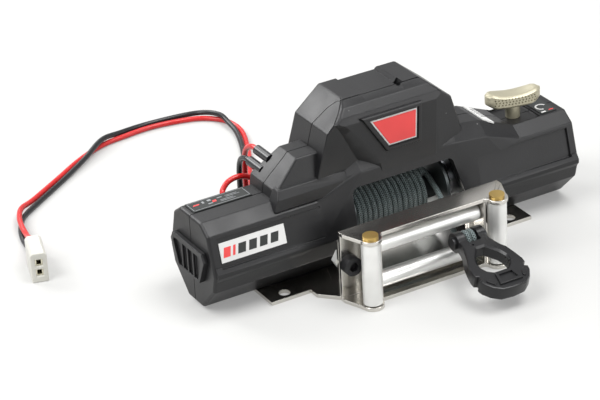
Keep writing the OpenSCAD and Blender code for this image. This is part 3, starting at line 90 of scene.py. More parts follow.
def smooth_route(points, steps):
    """Curve through all the points, with some steps between each two."""
    pts = [Vector(p) for p in points]
    pts = [2 * pts[0] - pts[1]] + pts + [2 * pts[-1] - pts[-2]]
    out = []
    for i in range(1, len(pts) - 2):
        p0, p1, p2, p3 = pts[i - 1:i + 3]
        for k in range(steps):
            t = k / steps
            out.append(((2 * p1) + (p2 - p0) * t + (2 * p0 - 5 * p1 + 4 * p2 - p3) * t * t
                        + (3 * p1 - p0 - 3 * p2 + p3) * t ** 3) / 2)
    out.append(pts[-2])
    return out


def skin(bm, rings):
    """Faces between a row of equal rings, and one over each end."""
    count = len(rings[0])
    for a, b in zip(rings, rings[1:]):
        for k in range(count):
            bm.faces.new((a[k], b[k], b[(k + 1) % count], a[(k + 1) % count]))
    bm.faces.new(rings[0])
    bm.faces.new(list(reversed(rings[-1])))


def tube(name, path, radius, sides, closed=False):
    """Round tube along a path in metres, radius in mm, with a UV of (length in mm, turn 0 to 1)."""
    n = len(path)
    dirs = []
    for i in range(n):
        a = path[(i - 1) % n] if closed else path[max(i - 1, 0)]
        b = path[(i + 1) % n] if closed else path[min(i + 1, n - 1)]
        dirs.append((b - a).normalized())
    u = Vector((0, 0, 1)) if abs(dirs[0].z) < 0.9 else Vector((1, 0, 0))
    angles = [2 * math.pi * k / sides for k in range(sides)]
    bm = bmesh.new()
    uv = bm.loops.layers.uv.new("tube")
    rings, run, lengths = [], 0.0, []
    for i in range(n):
        u = (u - dirs[i] * u.dot(dirs[i])).normalized()
        w = dirs[i].cross(u)
        ring = [path[i] + radius * MM * (math.cos(a) * u + math.sin(a) * w) for a in angles]
        rings.append([bm.verts.new(p) for p in ring])
        if i:
            run += (path[i] - path[i - 1]).length
        lengths.append(run)
    for i in range(n if closed else n - 1):
        j = (i + 1) % n
        near, far = lengths[i], lengths[j] if j else run + (path[0] - path[-1]).length
        for k in range(sides):
            m = (k + 1) % sides
            f = bm.faces.new((rings[i][k], rings[j][k], rings[j][m], rings[i][m]))
            f.smooth = True
            for loop, (s, t) in zip(f.loops, ((near, k), (far, k), (far, k + 1), (near, k + 1))):
                loop[uv].uv = (s / MM, t / sides)
    if not closed:
        bm.faces.new(rings[0])
        bm.faces.new(list(reversed(rings[-1])))
    return from_bmesh(name, bm)


def rod(name, start, end, radius, sides=24):
    return tube(name, in_metres((start, end)), radius, sides)


def prism(name, outline, low, high, place=Matrix(), soft=0.0):
    """Closed outline in mm pushed from low to high along its own z, then placed; soft rounds its edges."""
    bm = bmesh.new()
    base = bm.faces.new([bm.verts.new((x * MM, y * MM, low * MM)) for x, y in outline])
    for item in bmesh.ops.extrude_face_region(bm, geom=[base])["geom"]:
        if isinstance(item, bmesh.types.BMVert):
            item.co.z = high * MM
    if soft:
        edges = [e for e in bm.edges if e.is_manifold and e.calc_face_angle(0) > math.radians(25)]
        bmesh.ops.bevel(bm, geom=edges, offset=soft * MM, offset_type="OFFSET", segments=2,
                        profile=0.5, affect="EDGES", clamp_overlap=True)
    bmesh.ops.transform(bm, matrix=place, verts=bm.verts)
    return from_bmesh(name, bm)


def mirrored(points):
    return points + [(-x, y) for x, y in reversed(points) if x]


def arc(cx, cy, r, start, end, steps):
    angles = [math.radians(start + (end - start) * i / steps) for i in range(steps + 1)]
    return [(cx + r * math.cos(a), cy + r * math.sin(a)) for a in angles]


def grow(outline, d):
    """Convex outline moved out by d, or in where d is negative."""
    pts = [Vector(q) for q in outline]
    mid = sum(pts, Vector((0, 0))) / len(pts)
    sides = []
    for a, b in zip(pts, pts[1:] + pts[:1]):
        n = Vector((b.y - a.y, a.x - b.x)).normalized()
        sides.append((a + (n if n.dot(a - mid) > 0 else -n) * d, b - a))
    out = []
    for (a, u), (b, v) in zip(sides[-1:] + sides[:-1], sides):
        t = (b - a).cross(v) / u.cross(v)
        out.append(tuple(a + u * t))
    return out


# Convex solids in mm, cut from a box by planes, with rounded edges
same_point, same_plane, flat_angle = 1e-4, 1e-5, math.radians(0.5)


def walls(outline, along):
    """Planes through the sides of a convex outline that runs along x (0) or along y (1)."""
    pts = [Vector(p) for p in outline]
    mid = sum(pts, Vector((0, 0))) / len(pts)
    planes = []
    for a, b in zip(pts, pts[1:] + pts[:1]):
        n = Vector((b.y - a.y, a.x - b.x)).normalized()
        n = n if n.dot(a - mid) > 0 else -n
        planes.append((Vector((0, a.x, a.y)), Vector((0, n.x, n.y))) if along == 0
                      else (Vector((a.x, 0, a.y)), Vector((n.x, 0, n.y))))
    return planes


def hull_of(points):
    bm = bmesh.new()
    for p in points:
        bm.verts.new(p)
    bmesh.ops.remove_doubles(bm, verts=bm.verts, dist=same_point)
    out = bmesh.ops.convex_hull(bm, input=bm.verts)
    loose = {g for g in out["geom_interior"] + out["geom_unused"] if isinstance(g, bmesh.types.BMVert)}
    bmesh.ops.delete(bm, geom=[v for v in loose if v.is_valid], context="VERTS")
    return bm


def hull_planes(points):
    bm = hull_of(points)
    mid = sum((v.co for v in bm.verts), Vector()) / len(bm.verts)
    planes = []
    for f in bm.faces:
        n = f.normal if f.normal.dot(f.calc_center_median() - mid) > 0 else -f.normal
        if not any(n.dot(m) > 0.99999 and abs((q - f.verts[0].co).dot(m)) < 1e-3 for q, m in planes):
            planes.append((f.verts[0].co.copy(), n.copy()))
    bm.free()
    return planes


def cut_hull(bm, point, normal):
    bmesh.ops.bisect_plane(bm, geom=bm.verts[:] + bm.edges[:] + bm.faces[:], dist=same_plane,
                           plane_co=point, plane_no=normal, clear_outer=True)
    points = [v.co.copy() for v in bm.verts]
    bm.free()
    return hull_of(points)


def rounded(bm, radius):
    """Hull of the same form grown by the radius, with arcs of four steps along its edges."""
    points = []
    for v in bm.verts:
        normals = []
        for f in v.link_faces:
            if not any(f.normal.dot(n) > 0.9999 for n in normals):
                normals.append(f.normal.copy())
        ways = list(normals)
        for i, a in enumerate(normals):
            for j in range(i + 1, len(normals)):
                ways += [a.lerp(normals[j], t) for t in (0.25, 0.5, 0.75)]
                ways += [a + normals[j] + c for c in normals[j + 1:]]
        points += [v.co + radius * way.normalized() for way in ways if way.length > 0.2]
    bm.free()
    return hull_of(points)


def solid(name, low, high, planes, inset=0.0, radius=0.5, trims=()):
    inset += radius
    bm = hull_of([(x, y, z) for x in (low[0] + radius, high[0] - radius)
                  for y in (low[1] + radius, high[1] - radius) for z in (low[2] + radius, high[2] - radius)])
    for point, normal in planes:
        bm = cut_hull(bm, point - normal * inset, normal)
    bmesh.ops.dissolve_limit(bm, angle_limit=flat_angle, verts=bm.verts, edges=bm.edges)
    bmesh.ops.recalc_face_normals(bm, faces=bm.faces)
    if radius:
        bm = rounded(bm, radius)
        for point, normal in trims:
            bm = cut_hull(bm, Vector(point), Vector(normal))
        bmesh.ops.dissolve_limit(bm, angle_limit=flat_angle, verts=bm.verts, edges=bm.edges)
    bmesh.ops.scale(bm, vec=(MM, MM, MM), verts=bm.verts)
    return from_bmesh(name, bm)


def combine(base, op, *tools):
    for tool in tools:
        m = base.modifiers.new("cut", "BOOLEAN")
        m.operation, m.object, m.solver = op, tool, "EXACT"
    mesh = bpy.data.meshes.new_from_object(base.evaluated_get(bpy.context.evaluated_depsgraph_get()))
    base.modifiers.clear()
    base.data = mesh
    for tool in tools:
        bpy.data.objects.remove(tool)
    return base


def soft_shade(obj, angle=32):
    obj.data.shade_smooth()
    obj.data.set_sharp_from_angle(angle=math.radians(angle))
    obj.modifiers.new("normals", "WEIGHTED_NORMAL").keep_sharp = True
    return obj


# Materials
def node(owner, kind, **props):
    n = owner.node_tree.nodes.new(kind)
    for key, value in props.items():
        if key in n.inputs:
            n.inputs[key].default_value = value
        else:
            setattr(n, key, value)
    return n


def wire(owner, a, b):
    owner.node_tree.links.new(a, b)


def feed(owner, value, socket):
    if isinstance(value, (int, float)):
        socket.default_value = value
    else:
        wire(owner, value, socket)


def bsdf_of(mat):
    return mat.node_tree.nodes["Principled BSDF"]


def coords(mat):
    return node(mat, "ShaderNodeTexCoord").outputs["Object"]


def noise(mat, scale, detail):
    n = node(mat, "ShaderNodeTexNoise", Scale=scale, Detail=detail, Roughness=0.5)
    wire(mat, coords(mat), n.inputs["Vector"])
    return n.outputs["Fac"]


def ramp(mat, fac, stops):
    n = node(mat, "ShaderNodeValToRGB")
    wire(mat, fac, n.inputs["Fac"])
    e = n.color_ramp.elements
    while len(e) < len(stops):
        e.new(0.5)
    for item, (at, color) in zip(e, stops):
        item.position = at
        item.color = (*color, 1)
    return n.outputs["Color"]


def remap(owner, *value_and_ranges):
    """Takes a value, the ends of the range that it comes from and the ends of the range that it goes to."""
    n = node(owner, "ShaderNodeMapRange")
    for value, socket in zip(value_and_ranges, n.inputs):
        feed(owner, value, socket)
    return n.outputs["Result"]


def math_node(owner, op, *values):
    n = node(owner, "ShaderNodeMath", operation=op)
    for value, socket in zip(values, n.inputs):
        feed(owner, value, socket)
    return n.outputs[0]


def bump(mat, height, strength, distance):
    n = node(mat, "ShaderNodeBump", Strength=strength, Distance=distance * MM)
    wire(mat, height, n.inputs["Height"])
    wire(mat, n.outputs["Normal"], bsdf_of(mat).inputs["Normal"])


def material(name, color, rough=0.5, metal=0.0, **sockets):
    mat = bpy.data.materials.new(name)
    mat.use_nodes = True
    inputs = bsdf_of(mat).inputs
    inputs["Base Color"].default_value = (*color, 1)
    inputs["Roughness"].default_value = rough
    inputs["Metallic"].default_value = metal
    for key, value in sockets.items():
        inputs[key.replace("_", " ")].default_value = value
    return mat


cloud_size, cloud_low, cloud_high = 18, 0.3, 0.7
tone_low, tone_high, gloss_spread = 0.86, 1.14, 0.05
speck_rim, speck_edge, speck_strength, speck_fade = 0.05, 0.09, 0.4, 0.04
speck_color = (0.5, 0.5, 0.5, 1)


def grained(name, color, rough, grain, depth, spots=None, metal=0.0, rare=0.7, **sockets):
    """Moulded or metal surface: fine grain in the bump, cloudy gloss, slight tone and rare pale specks."""
    mat = material(name, color, rough, metal, **sockets)
    fine = noise(mat, grain, 4)
    cloud = noise(mat, grain / cloud_size, 3)
    gloss = remap(mat, cloud, cloud_low, cloud_high, rough - gloss_spread, rough + gloss_spread)
    wire(mat, gloss, bsdf_of(mat).inputs["Roughness"])
    tone = ramp(mat, cloud, ((cloud_low, [c * tone_low for c in color]),
                             (cloud_high, [min(1, c * tone_high) for c in color])))
    if spots:
        v = node(mat, "ShaderNodeTexVoronoi", Scale=spots)
        wire(mat, coords(mat), v.inputs["Vector"])
        mask = remap(mat, v.outputs["Distance"], speck_rim, speck_edge, 1, 0)
        few = remap(mat, noise(mat, spots / 3, 0), rare - speck_fade, rare, 0, speck_strength)
        mix = node(mat, "ShaderNodeMix", data_type="RGBA")
        wire(mat, math_node(mat, "MULTIPLY", mask, few), mix.inputs["Factor"])
        wire(mat, tone, mix.inputs[6])
        mix.inputs[7].default_value = speck_color
        tone = mix.outputs[2]
    wire(mat, tone, bsdf_of(mat).inputs["Base Color"])
    bump(mat, fine, 0.5, depth)
    return mat


strands_per_mm, strands_around, fibre_grain, fibre_share = 2.1, 5.0, 9000, 0.7
# Rope colours by strand height: painted shade in the grooves, the rope's own dark teal in the middle, a
# painted highlight on the crests
braid_tones_with_painted_light = ((0.0, (0.003, 0.006, 0.007)), (0.5, (0.015, 0.025, 0.027)), (1.0, (0.27, 0.34, 0.34)))


def rope_material(name):
    """Round braid from two sets of crossing strands, worked out from the tube's own UV; its colour carries
    painted shade in the grooves and a painted highlight on the crests.
    """
    mat = material(name, (0.05, 0.08, 0.09), 0.42, Sheen_Weight=0.1)
    uv = node(mat, "ShaderNodeUVMap", uv_map="tube")
    sep = node(mat, "ShaderNodeSeparateXYZ")
    wire(mat, uv.outputs["UV"], sep.inputs[0])
    along = math_node(mat, "MULTIPLY", sep.outputs[0], strands_per_mm)
    around = math_node(mat, "MULTIPLY", sep.outputs[1], strands_around)
    strands = []
    for way in ("ADD", "SUBTRACT"):
        phase = math_node(mat, "MULTIPLY", math_node(mat, way, along, around), 2 * math.pi)
        strands.append(math_node(mat, "SINE", phase))
    weave = math_node(mat, "MAXIMUM", *strands)
    fibre = math_node(mat, "MULTIPLY", noise(mat, fibre_grain, 2), fibre_share)
    height = math_node(mat, "ADD", weave, fibre)
    # Colour from the braid's height: painted shade in the grooves between strands and a painted highlight on
    # their crests
    color = ramp(mat, remap(mat, height, -0.6, 1.5, 0, 1), braid_tones_with_painted_light)
    wire(mat, color, bsdf_of(mat).inputs["Base Color"])
    bump(mat, height, 0.8, 0.12)
    return mat


# Surfaces: colour, roughness, grains per metre and depth of the grain in mm
SURFACES = {
    "housing_plastic": dict(color=(0.010, 0.010, 0.011), rough=0.38, grain=2600, depth=0.04, spots=430,
                            rare=0.76, Specular_IOR_Level=0.40),
    "plated_sheet": dict(color=(0.64, 0.62, 0.58), rough=0.20, grain=900, depth=0.004, metal=1.0),
    "roller_steel": dict(color=(0.84, 0.84, 0.82), rough=0.38, grain=1500, depth=0.006, metal=0.65),
    "brass": dict(color=(0.50, 0.35, 0.12), rough=0.42, grain=1400, depth=0.006, metal=1.0),
    "black_screw": dict(color=(0.03, 0.03, 0.032), rough=0.34, grain=1500, depth=0.01, metal=0.6),
    "hook_black": dict(color=(0.009, 0.009, 0.010), rough=0.27, grain=1700, depth=0.03,
                       Specular_IOR_Level=0.42),
    "lever_plate": dict(color=(0.44, 0.41, 0.30), rough=0.36, grain=1300, depth=0.01, metal=0.4),
    "label_white": dict(color=(0.72, 0.72, 0.71), rough=0.36, grain=900, depth=0.002),
    "label_dark": dict(color=(0.030, 0.033, 0.032), rough=0.46, grain=1200, depth=0.004,
                       Specular_IOR_Level=0.3),
    "label_silver": dict(color=(0.27, 0.28, 0.29), rough=0.38, grain=1200, depth=0.004),
    "badge_red": dict(color=(0.80, 0.06, 0.06), rough=0.34, grain=900, depth=0.002),
    "sheet_steel": dict(color=(0.45, 0.46, 0.48), rough=0.35, grain=1100, depth=0.01, metal=1.0),
    "drum_metal": dict(color=(0.06, 0.068, 0.07), rough=0.35, grain=1100, depth=0.01, metal=0.6),
    "motor_steel": dict(color=(0.62, 0.63, 0.64), rough=0.3, grain=1100, depth=0.008, metal=1.0),
    "magnet": dict(color=(0.10, 0.10, 0.11), rough=0.6, grain=1500, depth=0.02),
    "bell_plastic": dict(color=(0.80, 0.80, 0.74), rough=0.45, grain=1200, depth=0.01),
    "carbon": dict(color=(0.05, 0.05, 0.05), rough=0.6, grain=1500, depth=0.02),
    "copper": dict(color=(0.72, 0.38, 0.2), rough=0.32, grain=2200, depth=0.03, metal=1.0),
    "shaft_steel": dict(color=(0.72, 0.73, 0.75), rough=0.2, grain=1500, depth=0.004, metal=1.0),
    "gear_steel": dict(color=(0.42, 0.43, 0.45), rough=0.3, grain=1500, depth=0.006, metal=1.0),
    "lead_red": dict(color=(0.60, 0.018, 0.018), rough=0.27, grain=1600, depth=0.006),
    "lead_black": dict(color=(0.012, 0.012, 0.014), rough=0.27, grain=1600, depth=0.006),
    "plug_plastic": dict(color=(0.70, 0.69, 0.63), rough=0.36, grain=1200, depth=0.006),
    "contact_metal": dict(color=(0.78, 0.74, 0.58), rough=0.28, grain=1500, depth=0.004, metal=1.0),
}
MATERIALS = {name: grained(name, **look) for name, look in SURFACES.items()}
MATERIALS["rope"] = rope_material("rope")


def cover(obj, slot):
    obj.data.materials.clear()
    obj.data.materials.append(MATERIALS[slot])


def dress(obj, slot, body, *replaced):
    cover(obj, slot)
    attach(obj, body)
    if replaced:
        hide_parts(*replaced)
    return obj


for part in frame["record"]["subparts"]:
    cover(NODES[part["node"]], part["material_slot"])

# Cords: routes in mm, as the CAD has them
wire_radius, wire_sides, route_steps = 0.65, 16, 8
red_route = [
    (-25.2, 9.6, 27.6), (-25.2, 12, 27.4), (-25.2, 14.5, 26), (-25, 16.3, 23), (-24.8, 17, 18),
    (-24.5, 17.3, 12), (-24.1, 18, 7), (-23, 20, 3), (-21.2, 24, 1), (-18.4, 29.6, 0.7), (-12.4, 39.6, 0.7),
    (-6.4, 49.7, 0.7), (-1.8, 58.7, 0.7), (1.5, 67.3, 0.7), (1.9, 73, 0.7), (0.2, 77.5, 0.7),
    (-4.8, 81.4, 0.7), (-15, 83.5, 0.7), (-23.5, 82.9, 0.7), (-30.3, 81.7, 0.7), (-38.4, 77.7, 0.7),
    (-48, 71.2, 0.7), (-57, 64.8, 1), (-61.8, 60.8, 2), (-64.3, 56.6, 2.15), (-65.7, 52.2, 2.15),
    (-66.6, 47.6, 2.2), (-67.5, 43.8, 3.4), (-68.35, 41, 4.6), (-69.33, 37.77, 4.95)]
black_route = [
    (-27.2, 9.6, 25.4), (-27.2, 11.8, 25.2), (-27.2, 14, 24), (-27, 15.4, 21), (-26.8, 16, 16),
    (-26.4, 16.5, 10), (-26, 17.4, 5.5), (-25, 19.6, 2.2), (-23.2, 23.6, 0.8), (-19.7, 30.3, 0.7),
    (-13.6, 40.4, 0.7), (-7.6, 50.3, 0.7), (-3, 59.3, 0.7), (0.1, 67.7, 0.9), (0.7, 73, 1.5),
    (0.2, 77.5, 2.2), (-3.7, 82.6, 1.5), (-15, 85.3, 0.9), (-24, 84.1, 1.4), (-30.3, 81.7, 2.2),
    (-37.7, 76.4, 1.3), (-47, 70, 0.7), (-57.4, 62.6, 0.7), (-62.4, 58.6, 0.7), (-65.2, 54.2, 0.7),
    (-66.9, 49.8, 0.7), (-67.7, 46, 0.7), (-68.1, 43.2, 1.3), (-68.5, 40.9, 2.2), (-69.33, 37.77, 2.45)]
jumper_route = [
    (-34.6, 7, 19.2), (-34.6, 9.2, 19.2), (-34.2, 10.3, 19.8), (-32.8, 10.9, 20.9), (-31, 11.1, 21.5),
    (-29, 11.1, 21.5), (-27.2, 10.9, 20.9), (-25.8, 10.3, 19.8), (-25.4, 9.2, 19.2), (-25.4, 7, 19.2)]


def free_lead(name, route, slot):
    path = in_metres(smooth_route(route, route_steps))
    obj = tube(name, path, wire_radius, wire_sides)
    dress(obj, slot, "housing", name.replace("_shown", ""))


free_lead("lead_red_shown", red_route, "lead_red")
free_lead("lead_black_shown", black_route, "lead_black")
jumper = tube("motor_lead_shown", in_metres(smooth_route(jumper_route, route_steps)), wire_radius, wire_sides)
dress(jumper, "lead_red", "housing", "motor_lead_red")


# Outer form of the housing: half sections as (y, z above the drum's axis)
def both_sides(points):
    return [(y, z + AXIS_Z) for y, z in points] + [(-y, z + AXIS_Z) for y, z in reversed(points)]


def sections(stations, points):
    return [(x, y, z) for x in stations for y, z in both_sides(points)]


foot_half, side_half, top_half = 3.296, 10.3, 4.738
half_section = [(foot_half, -10.75), (9.167, -4.73), (side_half, -0.5375), (7.828, 8.4925), (top_half, 10.75)]
crown_middle = [(foot_half, 0), (side_half, 0), (7.931, 12.75), (top_half, 15.75)]
shoulder_section = [(foot_half, 0), (side_half, 0), (7.9, 11.8), (top_half, 14.65)]
end_inset, end_drop = 0.15, 0.1
end_section = [(y - end_inset, z - end_drop) for y, z in half_section]
crown_middle_x, crown_end_x, shoulder_root_x = (-9, 9), (-21, 26), (5, 16)
shoulder_high, shoulder_low = Vector((24.2, 26.3)), Vector((34.0, 22.4))
body_planes = walls(both_sides(half_section), 0)
crown_planes = hull_planes(sections(crown_middle_x, crown_middle) + sections(crown_end_x, end_section))
shoulder_planes = hull_planes(
    sections(shoulder_root_x, crown_middle) + sections((shoulder_high.x,), shoulder_section)
    + sections((shoulder_low.x,), end_section))

# Tower: outlines as (x, z) along y and as (y, z) along x, and a slanted facet
tower_foot, tower_top, tower_rear = 21.4, 40.4, 8.2
tower_right = [(9.9, tower_top), (16.3, 35.1), (19.8, 23.4), (20.4, tower_foot)]
tower_front = [(-x, z) for x, z in reversed(tower_right)] + tower_right
tower_side = [(-8.36, tower_foot), (-7.18, 36.2), (-6.5, 37.8), (-4.9, 39.3), (-2.6, tower_top),
              (tower_rear, tower_top), (tower_rear, tower_foot)]
facet_point = Vector((12, -7.1, 36))
facet_yaw, facet_pitch = math.radians(13), math.radians(-3.2)
facet_normal = Vector((math.sin(facet_yaw) * math.cos(facet_pitch),
                       -math.cos(facet_yaw) * math.cos(facet_pitch), -math.sin(facet_pitch)))
tower_planes = walls(tower_front, 1) + walls(tower_side, 0) + [(facet_point, facet_normal)]

# Cable block beside the tower, and the ledge in front of it
block_foot, block_top, block_left, block_right, block_face, block_rear = 20.5, 30.4, -31.8, -9, -7, 6
block_front = [(block_left, block_foot), (block_left, 22.4), (-29.4, 24.6), (-28.4, block_top),
               (block_right, block_top), (block_right, block_foot)]
block_side = [(block_face, block_foot), (-6.1, 23.6), (-5, block_top), (3.6, block_top), (block_rear, 24.6),
              (block_rear, block_foot)]
block_planes = walls(block_front, 1) + walls(block_side, 0)
ledge_left, ledge_right, ledge_face, ledge_rear, ledge_top = -31, -12, -7.6, -4, 26.6
ledge_side = [(ledge_face, block_foot), (-7.4, 23.4), (-6.4, 25.1), (ledge_rear, 25.8),
              (ledge_rear, block_foot)]
ledge_front = [(ledge_left, block_foot), (-30.4, 22.6), (-29.2, 25.2), (ledge_right, ledge_top),
               (ledge_right, block_foot)]
ledge_planes = walls(ledge_side, 0) + walls(ledge_front, 1)

# Boxes that the planes cut: half length of the body, bounds past its depth and height, and roundings
body_end, depth_bound, body_bound, crown_bound, tower_bound = 48, 12, 24, 30, 21
tower_front_bound, tower_trim_z = -9, 23.3
crown_left, crown_right, shoulder_left, shoulder_right = -24, 28, 4, 36
shoulder_foot, shoulder_inset = 12.4, 0.05
body_round, crown_round, block_round, ledge_round = 0.7, 0.9, 0.55, 0.4
housing = solid("housing_form", (-body_end, -depth_bound, 0), (body_end, depth_bound, body_bound),
                body_planes, radius=body_round)
crown = solid("crown", (crown_left, -depth_bound, AXIS_Z), (crown_right, depth_bound, crown_bound),
              crown_planes, radius=crown_round)
shoulder = solid("shoulder", (shoulder_left, -depth_bound, shoulder_foot),
                 (shoulder_right, depth_bound, crown_bound), shoulder_planes, shoulder_inset, crown_round)
tower = solid("tower", (-tower_bound, tower_front_bound, tower_foot), (tower_bound, tower_rear, tower_top),
              tower_planes, radius=crown_round, trims=[((0, 0, tower_trim_z), (0, 0, -1))])
block = solid("block", (block_left, block_face, block_foot), (block_right, block_rear, block_top),
              block_planes, radius=block_round)
ledge = solid("ledge", (ledge_left, ledge_face, block_foot), (ledge_right, ledge_rear, ledge_top),
              ledge_planes, radius=ledge_round)

# Channel and notch in the tower's top, as outlines (x, z) pushed along y
upright = Matrix(((1, 0, 0, 0), (0, 0, -1, 0), (0, 1, 0, 0), (0, 0, 0, 1)))
channel_floor = 39.5
channel_line = [(-6.2, 41.4), (-4.9, channel_floor), (4.9, channel_floor), (6.2, 41.4)]
channel = prism("channel", channel_line, -depth_bound, depth_bound, upright, soft=0.25)
notch = prism("notch", [(4.4, 39), (5.4, 39), (5.9, 41), (4.9, 41)], 0.2, 2.6, upright)

# Recess at the tower's front left, between a rim on its front and a foot on a slanted floor
front_low_y, front_low_z, front_lean, front_rise = -8.2, 23.4, 1.1, 13.9
floor_a, floor_b = Vector((-14.3, -6.35, 37.2)), Vector((-18.85, -6.5, 26.6))
floor_c = Vector((-8.42, -5.87, 26.54))
floor_n = (floor_b - floor_a).cross(floor_c - floor_a).normalized()
recess_left, recess_front, recess_foot, rim_top, foot_top = -30, -11, 22, 38.4, 37.4
recess_overrun_share = 1.2


def front_y(z):
    return front_low_y + (z - front_low_z) * front_lean / front_rise


def floor_y(x, z):
    return floor_a.y - (floor_n.x * (x - floor_a.x) + floor_n.z * (z - floor_a.z)) / floor_n.y


rim_line = smooth_route([(-15.6, rim_top, 0), (-13.5, 37.1, 0), (-11.0, 35.1, 0), (-7.8, 31.5, 0),
                         (-4.9, 27.7, 0), (-3.9, 24.4, 0), (-3.7, recess_foot, 0)], 3)
foot_line = smooth_route([(-15.8, foot_top, 0), (-13.9, 36.2, 0), (-12.2, 33.5, 0), (-10.3, 30, 0),
                          (-8.42, 26.5, 0), (-7.6, 24.4, 0), (-7.2, recess_foot, 0)], 3)
outer, inner = [], []
for r, f in zip(rim_line, foot_line):
    top = Vector((r.x, front_y(r.y), r.y))
    deep = Vector((f.x, floor_y(f.x, f.y), f.y))
    outer.append(top + (top - deep) * recess_overrun_share)
    inner.append(deep)
for z_outer, z_inner in ((recess_foot, recess_foot), (rim_top, foot_top)):
    outer.append(Vector((recess_left, recess_front, z_outer)))
    inner.append(Vector((recess_left, floor_y(recess_left, z_inner), z_inner)))
bm = bmesh.new()
skin(bm, [[bm.verts.new(p * MM) for p in line] for line in (outer, inner)])
bmesh.ops.triangulate(bm, faces=bm.faces)
recess = from_bmesh("recess", bm)

groove_radius, groove_sides = 0.2, 8
corner_line = [(-9.2, -0.6, 40.6), (-10.0, -2.4, 40.2), (-12.0, -4.5, 38.7), (-14.2, -6.2, 36.7),
               (-16.25, -6.5, 35), (-17.45, -6.5, 31.3), (-18.8, -6.6, 26.6), (-19.6, -6.7, 23.8),
               (-20.2, -6.8, 22)]
corner_groove = tube("corner_groove", in_metres(corner_line), groove_radius, groove_sides)
combine(tower, "DIFFERENCE", recess, channel, corner_groove, notch)

# Beads along the widest line, thicker toward the ends: sections as (y, z above the drum's axis)
bead_end_x, bead_middle_x, bead_bound, bead_round = 47.5, 18, 49, 0.15
bead_end = ((9.8, 1.9), (10.95, 0.4), (10.95, -0.6), (9.7, -2.1))
bead_middle = ((9.8, 0.6), (10.25, -0.2), (10.2, -0.7), (9.9, -1.4))
quarters = [(side, end) for side in (1, -1) for end in (-1, 1)]
beads = []
for side, end in sorted(quarters):
    pts = [(end * bead_end_x, side * y, z + AXIS_Z) for y, z in bead_end]
    pts += [(end * bead_middle_x, side * y, z + AXIS_Z) for y, z in bead_middle]
    beads.append(solid("bead", (-bead_bound, -depth_bound, 0), (bead_bound, depth_bound, body_bound),
                       hull_planes(pts), radius=bead_round))
combine(housing, "UNION", crown, shoulder, block, ledge, tower, *beads)

# Rooms inside: motor, drum bay, gears, and the hollow of crown, tower and block
wall_t = 1.2
crown_room_left, crown_room_right, crown_room_foot = -19, 24, 22.4
tower_room_half, tower_room_foot, block_room_left, block_room_foot = 19, 22.6, -30.6, 22.5
rooms_x = (("motor_room", -46.8, -14.5), ("drum_bay", -13.3, 18.3), ("gear_room", 19.5, 46.8))
cavities = [solid(name, (x_low, -depth_bound, 0), (x_high, depth_bound, body_bound), body_planes, wall_t, 0)
            for name, x_low, x_high in rooms_x]
cavities.append(solid("crown_room", (crown_room_left, -depth_bound, crown_room_foot),
                      (crown_room_right, depth_bound, crown_bound), crown_planes, wall_t, 0))
recess_plane = (floor_a, floor_n if floor_n.y < 0 else -floor_n)
channel_plane = (Vector((0, 0, channel_floor)), Vector((0, 0, 1)))
cavities.append(solid("tower_room", (-tower_room_half, tower_front_bound, tower_room_foot),
                      (tower_room_half, tower_rear, tower_top),
                      tower_planes + [recess_plane, channel_plane], wall_t, 0))
cavities.append(solid("block_room", (block_room_left, block_face, block_room_foot),
                      (block_right, block_rear, block_top), block_planes, wall_t, 0))

# Bores: the drum's bush and journal, the clutch spindle, the passage from the block down to the motor,
# the lead sleeves and the ends of the short motor lead
lever_x = 36.6
journal_bores = ((-14.6, -13.2, 3.4), (18.2, 19.6, 2.65))
upright_bores = ((lever_x, 0, 18, 26, 1.25), (-24, 1.4, 21, 22.6, 2))
sleeve_places, sleeve_start, sleeve_end, sleeve_bore = ((-25.2, 27.6), (-27.2, 25.4)), 3.2, 9.6, 1.2
jumper_start, jumper_end, jumper_z, jumper_bore = 5, 11, 19.2, 0.7
bores = [rod("rod", (x_low, 0, AXIS_Z), (x_high, 0, AXIS_Z), r, 32) for x_low, x_high, r in journal_bores]
bores += [rod("rod", (x, y, z_low), (x, y, z_high), r) for x, y, z_low, z_high, r in upright_bores]
bores += [rod("rod", (x, sleeve_start, z), (x, sleeve_end, z), sleeve_bore) for x, z in sleeve_places]
bores += [rod("rod", (x, jumper_start, jumper_z), (x, jumper_end, jumper_z), jumper_bore, 16)
          for x in (-34.6, -25.4)]

# Drum window through the front and rear, panels sunk into the sides, the lever's well
window_left, window_right, window_foot, window_spring = -11.8, 17.0, -1, 19.75
window_round, window_steps = 1.6, 6
window_line = [(window_left, window_foot), (window_left, window_spring)]
window_line += arc(-10.2, window_spring, window_round, 180, 90, window_steps)
window_line += arc(13.2, window_spring, window_round, 90, 0, window_steps)
window_line += [(window_right, AXIS_Z), (window_right, window_foot)]
window = prism("window", window_line, -depth_bound, depth_bound, upright)
panel_low, panel_high = Vector((-10.3, 11.1125)), Vector((-7.828, 20.1425))
run = (panel_high - panel_low).normalized()
panel_width, panel_shares = 9.362, (0.17, 0.9)
panel_end, panel_start, panel_lip_end, panel_depth, panel_round = 46, 21, 29, 0.5, 0.22
panel_lip, panel_out, groove_start = 0.12, 2, 20
panels, grooves = [], []
for side, end in quarters:
    outline = [(end * panel_end, -panel_depth), (end * panel_lip_end, -panel_depth),
               (end * panel_start, panel_lip), (end * panel_start, panel_out), (end * panel_end, panel_out)]
    place = Matrix(((1, 0, 0, 0), (0, -side * run.y, side * run.x, side * panel_low.x * MM),
                    (0, run.x, run.y, panel_low.y * MM), (0, 0, 0, 1)))
    low, high = (share * panel_width for share in panel_shares)
    panels.append(prism("panel", outline, low, high, place, soft=panel_round))
    for share in panel_shares:
        line = panel_low.lerp(panel_high, share)
        ends = [(end * x, -side * line.x, line.y) for x in (groove_start, panel_end)]
        grooves.append(rod("groove", *ends, groove_radius, groove_sides))
well_half, well_floor, well_bound = 4.6, 21.9, 26
well_line = [(32, -well_half), (41.2, -well_half), (41.2, well_half), (32, well_half)]
well = prism("well", well_line, well_floor, well_bound, soft=0.3)
combine(housing, "DIFFERENCE", *cavities, *bores, window, well, *panels, *grooves)

